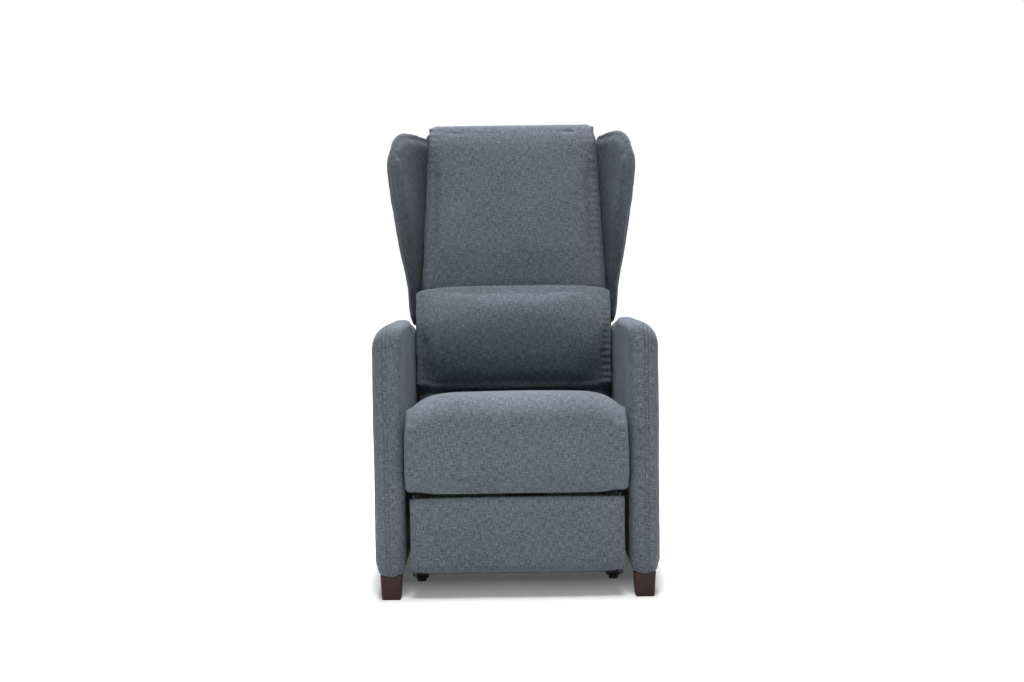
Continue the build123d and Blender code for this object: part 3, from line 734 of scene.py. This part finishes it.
armRight = makeArm()
armLeft = mirrorOf(armRight, "armPadLeft")
pressCrossSeam(armLeft)
armSkin = treeOf(armRight)
seamX = armHi.x - armSpec["seamFromOut"]
rightRows = []
for side in (-1, 1):
    seamLine = armSeamLine(seamX + side * armSpec["seamSplit"])
    rightRows.append(laidOn(armSkin, seamLine, stitchSpec["step"]))
leftRows = [flipped(row) for row in rightRows]
dress(armRight, "carriage", ["arm_cover_right"])
dress(armLeft, "carriage", ["arm_cover_left"])
sewLine("armStitchRight", rightRows, "carriage")
sewLine("armStitchLeft", leftRows, "carriage")
print("arms made")

# seat cushion

seatSpec = {
    "voxel": 0.007, "inset": 0.009, "cap": 0.024, "pressure": 4, "stiff": 10, "half": 0.2588,
    "seamIn": 0.014, "crest": 0.4745, "roll": 0.084, "front": -0.403, "fall": 0.11, "cornerDrop": 0.040,
    "lipRear": -0.3456, "under": 0.3406, "lipLow": 0.2474, "lipFrom": 0.268, "rear": 0.118, "high": 0.479,
    "spread": 0.03, "cornerAt": 0.25, "fallFrom": -0.29, "seamDeep": 0.0016, "seamWide": 0.003,
    "puckerDeep": 0.0011, "puckerIn": 0, "puckerWide": 0.018, "puckerPitch": 0.024, "sag": 0.0012,
    "earDrop": 0.0045,
}


def makeSeat():
    seat = copyOf("seat_cushion", "seatCushion")
    evenSkin(seat, seatSpec["voxel"], 6)
    swell(seat, seatSpec)

    def limit(points):
        points[:, 0] = np.clip(points[:, 0], -seatSpec["half"], seatSpec["half"])
        over = points[:, 1] > seatSpec["lipRear"] + 0.0001
        points[over, 2] = np.maximum(points[over, 2], seatSpec["under"])
        lip = (points[:, 2] < seatSpec["under"] - 0.0002) & ~over
        points[lip, 1] = np.minimum(points[lip, 1], seatSpec["lipRear"])
        points[:, 1] = np.clip(points[:, 1], seatSpec["front"] - 0.001, seatSpec["rear"])
        points[:, 2] = np.clip(points[:, 2], seatSpec["lipLow"] - 0.0002, seatSpec["high"])
        return points

    keepWithin(seat, limit)
    points, normals = grab(seat)
    points[:, 0] *= 1 + seatSpec["spread"] * np.clip(np.abs(points[:, 0]) / seatSpec["cornerAt"], 0, 1) ** 3
    top = seatSpec["crest"] - seatSpec["cornerDrop"] * (np.abs(points[:, 0]) / seatSpec["cornerAt"]) ** 7
    rollY = seatSpec["front"] + seatSpec["roll"]
    behind = points[:, 1] > rollY
    upward = np.clip((normals[:, 2] - 0.25) / 0.4, 0, 1) * (points[:, 2] > 0.38) * behind
    crest = top - seatSpec["fall"] * np.clip(points[:, 1] - seatSpec["fallFrom"], 0, None)
    points[:, 2] += (crest - points[:, 2]) * upward
    ray = np.column_stack([points[:, 1] - rollY, points[:, 2] - (top - seatSpec["roll"])])
    size = np.linalg.norm(ray, axis=1)
    ahead = (ray[:, 0] <= 0) & (ray[:, 1] > 0)
    share = ahead * np.clip((normals[:, 2] - normals[:, 1] - 0.3) / 0.4, 0, 1)
    grow = 1 + (seatSpec["roll"] / np.maximum(size, 1e-6) - 1) * share
    rollZ = top - seatSpec["roll"]
    points[:, 1] = rollY + ray[:, 0] * grow
    points[:, 2] = rollZ + ray[:, 1] * grow
    below = (points[:, 2] <= rollZ) * np.clip((-normals[:, 1] - 0.3) / 0.4, 0, 1) * (points[:, 1] < rollY)
    lift = np.clip((points[:, 2] - 0.262) / (rollZ - 0.262), 0, 1)
    points[:, 1] += (seatSpec["front"] - points[:, 1]) * below * np.clip(lift * 2.5, 0, 1)
    put(seat, points)
    relax(seat, 0.5, 7)
    keepWithin(seat, limit)
    finer(seat)
    points, normals = grab(seat)
    edge = seatSpec["half"] - seatSpec["seamIn"]
    outside = np.abs(points[:, 0])
    facing = np.clip(normals[:, 2] - normals[:, 1] * 0.9, 0, 1)
    along = np.where(points[:, 2] > 0.43, points[:, 1], -0.39 - (0.45 - points[:, 2]))
    dent = sewnIn(seatSpec, outside - edge, along, 0.7)
    sag = np.sin(points[:, 0] * 21 + 1.3) * np.sin(points[:, 1] * 13 + points[:, 2] * 19)
    moved = points + normals * ((seatSpec["sag"] * sag - dent) * facing)[:, None]
    ear = bell(outside - 0.262, 0.022) * bell(points[:, 2] - 0.252, 0.020) * (points[:, 1] < -0.34)
    moved[:, 2] -= seatSpec["earDrop"] * ear
    put(seat, moved)
    relax(seat, 0.25, 1)
    points = grab(seat)[0]
    edge, high = seatSpec["lipLow"], seatSpec["lipFrom"]
    hang = (points[:, 1] < -0.345) & (points[:, 2] < high)
    z = points[hang, 2]
    z = edge + (z - z.min()) * (high - edge) / (high - z.min())
    points[hang, 2] = z - 0.45 * np.clip(0.256 - z, 0, None) * np.clip((z - edge) / 0.004, 0, 1)
    put(seat, points)
    dress(seat, "carriage", ["seat_cushion"])


makeSeat()
print("seat made")

# back cushion

backSpec = {
    "voxel": 0.007, "inset": 0.006, "cap": 0.022, "pressure": 4, "stiff": 12, "front": -0.083,
    "underLumbar": -0.0655, "leftIn": 0.005, "rollFrom": 0.715, "rollTo": 0.834, "topEdge": -0.030,
    "rear": -0.0146, "low": 0.024, "high": 0.832, "seamIn": 0.012, "seamDeep": 0.0013, "seamWide": 0.003,
    "puckerDeep": 0.0013, "puckerIn": 0.006, "puckerWide": 0.016, "puckerPitch": 0.019, "sag": 0.0012,
    "topSeam": 0.822, "topSeamDeep": 0.0004, "topSeamWide": 0.004,
}


def makeBackCushion():
    pad = copyOf("back_cushion", "backCushion")
    evenSkin(pad, backSpec["voxel"], 5)
    swell(pad, backSpec)

    def limit(points):
        local = toBack(points)
        half = backHalfAt(local[:, 2]) + np.where(local[:, 2] < 0.30, 0.0018, -0.0008)
        local[:, 0] = np.clip(local[:, 0], -half, half)
        front = np.interp(local[:, 2], [0.368, 0.470], [backSpec["underLumbar"], backSpec["front"]])
        local[:, 1] = np.clip(local[:, 1], front, backSpec["rear"])
        local[:, 2] = np.clip(local[:, 2], backSpec["low"], backSpec["high"])
        return fromBack(local)

    keepWithin(pad, limit)
    relax(pad, 0.4, 5)
    points, normals = grab(pad)
    local = toBack(points)
    local[:, 2] += 0.006 * np.clip((local[:, 2] - 0.74) / 0.06, 0, 1)
    rise = local[:, 2] - backSpec["rollFrom"]
    climb = np.clip(rise / (backSpec["rollTo"] - backSpec["rollFrom"]), 0, 1)
    over = backSpec["topEdge"] + (backSpec["front"] - backSpec["topEdge"]) * np.sqrt(1 - climb ** 2)
    share = np.clip(-normals[:, 1] / 0.4, 0, 1) * np.clip((rise + 0.04) / 0.08, 0, 1)
    local[:, 1] += (over - local[:, 1]) * share
    local[:, 0] *= 1 + 0.03 * np.clip((0.34 - local[:, 2]) / 0.05, 0, 1)
    local[:, 0] *= 1 + 0.085 * np.clip((local[:, 2] - 0.79) / 0.03, 0, 1) ** 2
    put(pad, limit(fromBack(local)))
    relax(pad, 0.5, 6)
    local = toBack(grab(pad)[0])
    local[:, 0] += backSpec["leftIn"] * np.clip(-local[:, 0] / 0.2, 0, 1) ** 3 * (local[:, 2] > 0.3)
    put(pad, fromBack(local))
    finer(pad)
    points, normals = grab(pad)
    local = toBack(points)
    gap = backHalfAt(local[:, 2]) - backSpec["seamIn"] - np.abs(local[:, 0])
    ahead = np.clip(-normals[:, 1], 0, 1)
    dent = sewnIn(backSpec, gap, local[:, 2], np.where(local[:, 0] > 0, 0.4, 2.0))
    dent += backSpec["topSeamDeep"] * bell(local[:, 2] - backSpec["topSeam"], backSpec["topSeamWide"])
    sag = np.sin(local[:, 0] * 19 + 0.6) * np.sin(local[:, 2] * 15)
    put(pad, points + normals * ((backSpec["sag"] * sag - dent) * ahead)[:, None])
    relax(pad, 0.25, 1)
    dress(pad, "back", ["back_cushion"])


makeBackCushion()
print("back cushion made")

# lumbar cushion

lumbarSpec = {
    "voxel": 0.006, "inset": 0.008, "cap": 0.022, "pressure": 4, "stiff": 10, "half": 0.2588,
    "rear": -0.0662, "front": -0.156, "tuck": 0.026, "spread": 0.045, "low": 0.0855, "high": 0.366,
    "endSpread": 0.05, "seamAt": 0.2445, "seamDeep": 0.0014, "seamWide": 0.003, "puckerAt": 0.246,
    "puckerRight": 0.0011, "puckerLeft": 0.0009, "puckerWide": 0.016, "puckerPitch": 0.016, "sag": 0.0014,
    "topSeam": 0.364, "topSeamDeep": 0.0010, "topSeamWide": 0.0035, "topPucker": 0.358,
    "topPuckerDeep": 0.0007, "topPuckerWide": 0.014, "topPuckerPitch": 0.027, "earRise": 0.006,
}


def makeLumbar():
    pad = copyOf("lumbar_cushion", "lumbarCushion")
    evenSkin(pad, lumbarSpec["voxel"], 24)
    swell(pad, lumbarSpec)
    local = toBack(grab(pad)[0])
    under = np.clip((0.22 - local[:, 2]) / 0.134, 0, 1)
    depth = np.clip((lumbarSpec["rear"] - local[:, 1]) / 0.05, 0, 1)
    local[:, 1] += lumbarSpec["tuck"] * under ** 1.2 * depth
    local[:, 0] *= 1 + lumbarSpec["spread"] * np.clip(np.abs(local[:, 0]) / 0.25, 0, 1) ** 2
    upper = np.clip((local[:, 2] - 0.300) / 0.05, 0, 1) ** 2
    lower = np.clip((0.150 - local[:, 2]) / 0.05, 0, 1) ** 2
    local[:, 0] *= 1 + lumbarSpec["endSpread"] * (upper + lower)
    up = np.clip((local[:, 2] - 0.20) / (local[:, 2].max() - 0.20), 0, 1)
    local[:, 2] += (lumbarSpec["high"] - local[:, 2].max()) * up
    put(pad, fromBack(local))

    def limit(points):
        local = toBack(points)
        local[:, 0] = np.clip(local[:, 0], -lumbarSpec["half"], lumbarSpec["half"])
        local[:, 1] = np.clip(local[:, 1], lumbarSpec["front"], lumbarSpec["rear"])
        local[:, 2] = np.clip(local[:, 2], lumbarSpec["low"], lumbarSpec["high"])
        return fromBack(local)

    keepWithin(pad, limit)
    relax(pad, 0.4, 3)
    keepWithin(pad, limit)
    finer(pad)
    points, normals = grab(pad)
    local = toBack(points)
    side = np.abs(local[:, 0])
    ahead = np.clip(-normals[:, 1] * 1.2, 0, 1)
    right = local[:, 0] > 0
    fold = ripple(local[:, 2], lumbarSpec["puckerPitch"], np.where(right, 0.0, 1.1))
    strong = np.where(right, lumbarSpec["puckerRight"], lumbarSpec["puckerLeft"])
    pucker = strong * bell(side - lumbarSpec["puckerAt"], lumbarSpec["puckerWide"]) * fold * ahead
    dent = lumbarSpec["seamDeep"] * bell(side - lumbarSpec["seamAt"], lumbarSpec["seamWide"]) * ahead
    rim = np.clip(-normals[:, 1] + normals[:, 2] * 0.4, 0, 1)
    topSeam = bell(local[:, 2] - lumbarSpec["topSeam"], lumbarSpec["topSeamWide"]) * rim
    topFold = ripple(local[:, 0], lumbarSpec["topPuckerPitch"], 0.3)
    topPucker = bell(local[:, 2] - lumbarSpec["topPucker"], lumbarSpec["topPuckerWide"]) * topFold
    top = lumbarSpec["topSeamDeep"] * topSeam + lumbarSpec["topPuckerDeep"] * topPucker
    sag = lumbarSpec["sag"] * np.sin(local[:, 0] * 16 + 0.9) * np.sin(local[:, 2] * 24) * ahead
    moved = points - normals * (pucker + dent + top - sag)[:, None]
    ear = bell(side - 0.254, 0.018) * bell(local[:, 2] - 0.368, 0.018)
    moved[:, 2] += lumbarSpec["earRise"] * ear
    put(pad, moved)
    relax(pad, 0.25, 1)
    dress(pad, "back", ["lumbar_cushion"])


makeLumbar()
print("lumbar cushion made")

# wings

wingSpec = {
    "voxel": 0.006, "inset": 0.004, "cap": 0.010, "pressure": 4, "stiff": 14, "valley": 0.056,
    "tipFall": 0.18, "low": 0.270, "high": 0.814, "front": -0.176, "rear": 0.0405, "out": 0.3345,
    "leftIn": 0.010, "seamDeep": 0.0016, "seamWide": 0.003, "puckerDeep": 0.0006, "puckerIn": 0,
    "puckerWide": 0.012, "puckerPitch": 0.021,
}


def wingSeamLine(local):
    line = []
    for v in np.arange(0.31, 0.80, 0.012):
        ring = local[np.abs(local[:, 2] - v) < 0.006]
        if len(ring):
            reach = ring[:, 0] * 0.80 - ring[:, 1] * 0.60
            line.append(ring[np.argmax(reach)])
    line = np.array(line)
    kernel = np.ones(5) / 5
    smooth = line.copy()
    for axis in range(2):
        smooth[2:-2, axis] = np.convolve(line[:, axis], kernel, mode="valid")
    return smooth


def makeWing():
    wing = copyOf("wing_right", "wingPadRight")
    evenSkin(wing, wingSpec["voxel"], 3)
    local = toBack(grab(wing)[0])
    near = backHalfAt(local[:, 2])
    outer = np.interp(local[:, 2], [0.285, 0.43, 0.58, 0.65, 0.82], [0.265, 0.293, 0.317, 0.328, 0.330])
    share = np.clip((local[:, 0] - near) / (outer - near), 0, 1)
    inside = np.clip((-0.01 - local[:, 1]) / 0.03, 0, 1) * np.clip(1 - share / 0.9, 0, 1) ** 0.6
    local[:, 1] += wingSpec["valley"] * inside
    forward = np.clip(-0.055 - local[:, 1], 0, None)
    local[:, 2] -= wingSpec["tipFall"] * forward * np.clip((local[:, 2] - 0.68) / 0.12, 0, 1)
    local[:, 2] -= np.clip(0.36 - local[:, 2], 0, None) * 0.7
    local[:, 2] = np.maximum(local[:, 2], wingSpec["low"])
    put(wing, fromBack(local))
    relax(wing, 0.5, 4)
    swell(wing, wingSpec)

    def limit(points):
        local = toBack(points)
        near = backHalfAt(local[:, 2]) - 0.0008
        local[:, 0] = np.clip(local[:, 0], near, wingSpec["out"])
        local[:, 2] = np.clip(local[:, 2], wingSpec["low"], wingSpec["high"])
        local[:, 1] = np.clip(local[:, 1], wingSpec["front"], wingSpec["rear"])
        return fromBack(local)

    keepWithin(wing, limit)
    relax(wing, 0.4, 4)
    keepWithin(wing, limit)
    finer(wing)
    points, normals = grab(wing)
    local = toBack(points)
    line = wingSeamLine(local)
    gap, along = lineDistance(local, line)
    put(wing, points - normals * sewnIn(wingSpec, gap, along, 0.9)[:, None])
    relax(wing, 0.25, 1)
    return wing, fromBack(line)


# the left wing reaches a little further in, to the back cushion
def drawLeftIn(wing):
    local = toBack(grab(wing)[0])
    inner = np.clip(1 - (-local[:, 0] - backHalfAt(local[:, 2])) / 0.05, 0, 1)
    local[:, 0] += wingSpec["leftIn"] * inner * np.clip((local[:, 2] - 0.30) / 0.20, 0, 1)
    put(wing, fromBack(local))


wingRight, wingLine = makeWing()
wingLeft = mirrorOf(wingRight, "wingPadLeft")
drawLeftIn(wingLeft)
wingRow = laidOn(treeOf(wingRight), wingLine + np.array([-0.0024, -0.0032, 0]), stitchSpec["step"])
dress(wingRight, "back", ["wing_right"], wingClothPaintedShade)
dress(wingLeft, "back", ["wing_left"], wingClothPaintedShade)
sewLine("wingStitchRight", [wingRow], "back")
sewLine("wingStitchLeft", [flipped(wingRow)], "back")
print("wings made")

# rear cover of the back, rear panel and footrest pad

coverSpec = {
    "voxel": 0.004, "smooth": 3, "crown": 0.004, "seamIn": 0.016, "seamDeep": 0.0015, "seamWide": 0.004,
    "puckerDeep": 0.0007, "puckerIn": 0.008, "puckerWide": 0.014, "puckerPitch": 0.023, "topSeam": 0.803,
}


def makeRearCover():
    cover = copyOf("back_cover", "rearCover")
    evenSkin(cover, coverSpec["voxel"], coverSpec["smooth"])
    points, normals = grab(cover)
    local = toBack(points)
    rearward = normals[:, 1] * math.cos(lean) - normals[:, 2] * math.sin(lean)
    behind = np.clip(rearward, 0, 1) * (local[:, 1] > 0.036)
    across = np.clip(1 - (local[:, 0] / 0.235) ** 2, 0, 1)
    upward = np.clip(1 - ((local[:, 2] - 0.42) / 0.40) ** 2, 0, 1)
    gap = backHalfAt(local[:, 2]) - coverSpec["seamIn"] - np.abs(local[:, 0])
    dent = sewnIn(coverSpec, gap, local[:, 2], 1.4)
    topGap = local[:, 2] - coverSpec["topSeam"]
    dent += coverSpec["seamDeep"] * bell(topGap, coverSpec["seamWide"]) * (gap > 0)
    put(cover, points + normals * (behind * (coverSpec["crown"] * across * upward - dent))[:, None])
    shadeSmooth(cover)
    dress(cover, "back", ["back_cover"])


panelSpec = {
    "voxel": 0.004, "smooth": 2, "crown": 0.0035, "seamIn": 0.014, "seamDeep": 0.0014, "seamWide": 0.004,
}


def makeRearPanel():
    panel = copyOf("rear_panel", "rearPanel")
    evenSkin(panel, panelSpec["voxel"], panelSpec["smooth"])
    points, normals = grab(panel)
    lo, hi = points.min(axis=0), points.max(axis=0)
    behind = np.clip(normals[:, 1], 0, 1)
    inX = np.clip(1 - (points[:, 0] / hi[0]) ** 4, 0, 1)
    inZ = np.clip(1 - ((points[:, 2] - (lo[2] + hi[2]) / 2) / ((hi[2] - lo[2]) / 2)) ** 4, 0, 1)
    dent = panelSpec["seamDeep"] * bell(hi[2] - panelSpec["seamIn"] - points[:, 2], panelSpec["seamWide"])
    put(panel, points + normals * (behind * (panelSpec["crown"] * inX * inZ - dent))[:, None])
    shadeSmooth(panel)
    dress(panel, "carriage", ["rear_panel"])


padSpec = {
    "voxel": 0.005, "inset": 0.003, "cap": 0.0075, "pressure": 3, "stiff": 16, "seamIn": 0.012,
    "seamDeep": 0.0011, "seamWide": 0.003, "puckerDeep": 0.0006, "puckerIn": 0, "puckerWide": 0.012,
    "puckerPitch": 0.02, "sag": 0.0009,
}


def makeFootPad():
    pad = copyOf("footrest_pad", "footrestPad")
    points = grab(pad)[0]
    lo, hi = points.min(axis=0), points.max(axis=0)
    evenSkin(pad, padSpec["voxel"], 2)
    swell(pad, padSpec)

    def limit(points):
        points[:, 0] = np.clip(points[:, 0], lo[0] - 0.002, hi[0] + 0.002)
        points[:, 1] = np.clip(points[:, 1], lo[1] - 0.003, hi[1] - 0.0002)
        points[:, 2] = np.clip(points[:, 2], lo[2] - 0.001, hi[2] + 0.001)
        return points

    keepWithin(pad, limit)
    relax(pad, 0.4, 2)
    keepWithin(pad, limit)
    finer(pad)
    points, normals = grab(pad)
    ahead = np.clip(-normals[:, 1], 0, 1)
    gap = np.abs(points[:, 0]) - (hi[0] - padSpec["seamIn"])
    dent = sewnIn(padSpec, gap, points[:, 2], 0.5)
    sag = np.sin(points[:, 0] * 23 + 0.4) * np.sin(points[:, 2] * 27)
    moved = points + normals * ((padSpec["sag"] * sag - dent) * ahead)[:, None]
    low = np.clip((lo[2] + 0.05 - points[:, 2]) / 0.05, 0, 1)
    moved[:, 2] += low * (0.0015 * (1 - (points[:, 0] / hi[0]) ** 2) - 0.0035)
    put(pad, moved)
    relax(pad, 0.25, 1)
    points = grab(pad)[0]
    top = np.clip((points[:, 2] - hi[2] + 0.02) / 0.02, 0, 1)
    edge = hi[2] + 0.0008
    short = np.clip(hi[2] - points[:, 2], 0, None)
    points[:, 2] += (edge - points[:, 2].max()) * top + 0.5 * short * top
    points[:, 2] = np.minimum(points[:, 2], edge)
    put(pad, points)
    dress(pad, "ottoman", ["footrest_pad"])


makeRearCover()
makeRearPanel()
makeFootPad()
print("covers made")

# floor, light and camera

# the floor's glow is painted shadow: it falls from glow at the front of the chair to a lower value under
# its rear, and rises to white beyond a box round the chair given by fadeX and fadeY, painting out the
# shadow there
stageSpec = {
    "floor": 16.0, "floorTone": 0.86, "glow": 0.33, "paintedShadowGlowRear": 0.075,
    "paintedShadowFrom": -0.385, "paintedShadowTo": -0.19, "fadeFrom": 0.98, "fadeTo": 1.22,
    "fadeX": 0.345, "fadeY": 0.385, "world": 0.02,
}


def seenRays(tree):
    light = tree.nodes.new("ShaderNodeLightPath")
    near = math2(tree, "MAXIMUM", light.outputs["Is Camera Ray"], light.outputs["Is Glossy Ray"])
    return math2(tree, "MAXIMUM", near, light.outputs["Is Transmission Ray"])


def makeStage():
    bpy.ops.object.select_all(action="DESELECT")
    bpy.ops.mesh.primitive_plane_add(size=stageSpec["floor"], location=(0, 3.0, 0))
    floor = bpy.context.object
    floor.name = "studioFloor"
    bpy.ops.object.transform_apply(location=True, rotation=True, scale=True)
    material = bpy.data.materials.new("paleFloor")
    material.use_nodes = True
    tree = material.node_tree
    tree.nodes.clear()
    out = tree.nodes.new("ShaderNodeOutputMaterial")
    plain = tree.nodes.new("ShaderNodeBsdfDiffuse")
    plain.inputs["Color"].default_value = (stageSpec["floorTone"],) * 3 + (1,)
    glow = tree.nodes.new("ShaderNodeEmission")
    seen = seenRays(tree)
    place = tree.nodes.new("ShaderNodeTexCoord")
    split = tree.nodes.new("ShaderNodeSeparateXYZ")
    tree.links.new(place.outputs["Object"], split.inputs[0])
    sideways = math2(tree, "DIVIDE", math2(tree, "ABSOLUTE", split.outputs[0], None), stageSpec["fadeX"])
    along = math2(tree, "DIVIDE", math2(tree, "ABSOLUTE", split.outputs[1], None), stageSpec["fadeY"])
    reach = math2(tree, "MAXIMUM", sideways, along)
    # painted shadow: floor glow lower under the chair, darker towards its rear
    under = rangeOf(tree, split.outputs[1], stageSpec["glow"], stageSpec["paintedShadowGlowRear"],
                    stageSpec["paintedShadowFrom"], stageSpec["paintedShadowTo"])
    # painted light: glow rising to white beyond a box round the chair, washing out its shadow there
    white = rangeOf(tree, reach, 0.0, 1.0, stageSpec["fadeFrom"], stageSpec["fadeTo"])
    paintedFloorGlow = math2(tree, "ADD", under, math2(tree, "MULTIPLY", white, math2(tree, "SUBTRACT", 1.0, under)))
    tree.links.new(math2(tree, "MULTIPLY", seen, paintedFloorGlow), glow.inputs["Strength"])
    both = tree.nodes.new("ShaderNodeAddShader")
    tree.links.new(plain.outputs[0], both.inputs[0])
    tree.links.new(glow.outputs[0], both.inputs[1])
    tree.links.new(both.outputs[0], out.inputs["Surface"])
    floor.data.materials.append(material)

    world = bpy.data.worlds.new("studioAir")
    scene.world = world
    world.use_nodes = True
    tree = world.node_tree
    back = tree.nodes["Background"]
    back.inputs["Color"].default_value = (1, 1, 1, 1)
    seen = seenRays(tree)
    tree.links.new(rangeOf(tree, seen, stageSpec["world"], 1.0), back.inputs["Strength"])


lampSpec = {
    "rearOverhead": {"at": (0, 1.8, 5.6), "aim": (0, 0, 0.4), "wide": 1.6, "deep": 1.6, "power": 390},
    "frontOverhead": {"at": (0, -2.2, 5.6), "aim": (0, 0, 0.4), "wide": 1.6, "deep": 1.6, "power": 203},
    "frontFill": {"at": (0, -5.0, 0.9), "aim": (0, 0, 0.5), "wide": 1.4, "deep": 1.0, "power": 10},
}


def makeLamps():
    for name, spec in lampSpec.items():
        lamp = bpy.data.lights.new(name, "AREA")
        lamp.shape = "RECTANGLE"
        lamp.size = spec["wide"]
        lamp.size_y = spec["deep"]
        lamp.energy = spec["power"]
        obj = bpy.data.objects.new(name, lamp)
        scene.collection.objects.link(obj)
        obj.location = spec["at"]
        way = Vector(spec["aim"]) - Vector(spec["at"])
        obj.rotation_euler = way.to_track_quat("-Z", "Y").to_euler()


cameraSpec = {
    "at": (-0.0215, -3.56666, 0.8515), "down": 4.5, "yaw": -0.262, "roll": -0.79,
    "sensor": 36, "focalShare": 1400 / 1024,
}


def makeCamera():
    data = bpy.data.cameras.new("photoCamera")
    data.sensor_fit = "HORIZONTAL"
    data.sensor_width = cameraSpec["sensor"]
    data.lens = cameraSpec["focalShare"] * cameraSpec["sensor"]
    camera = bpy.data.objects.new("photoCamera", data)
    scene.collection.objects.link(camera)
    yaw, down, roll = (math.radians(cameraSpec[key]) for key in ("yaw", "down", "roll"))
    right = Vector((math.cos(yaw), math.sin(yaw), 0))
    level = Vector((-math.sin(yaw), math.cos(yaw), 0))
    ahead = level * math.cos(down) - Vector((0, 0, math.sin(down)))
    up = level * math.sin(down) + Vector((0, 0, math.cos(down)))
    rightTurned = right * math.cos(roll) + up * math.sin(roll)
    upTurned = up * math.cos(roll) - right * math.sin(roll)
    turn = Matrix((rightTurned, upTurned, -ahead)).transposed().to_4x4()
    camera.matrix_world = Matrix.Translation(cameraSpec["at"]) @ turn
    scene.camera = camera


makeStage()
makeLamps()
makeCamera()
print("stage, lamps and camera set")
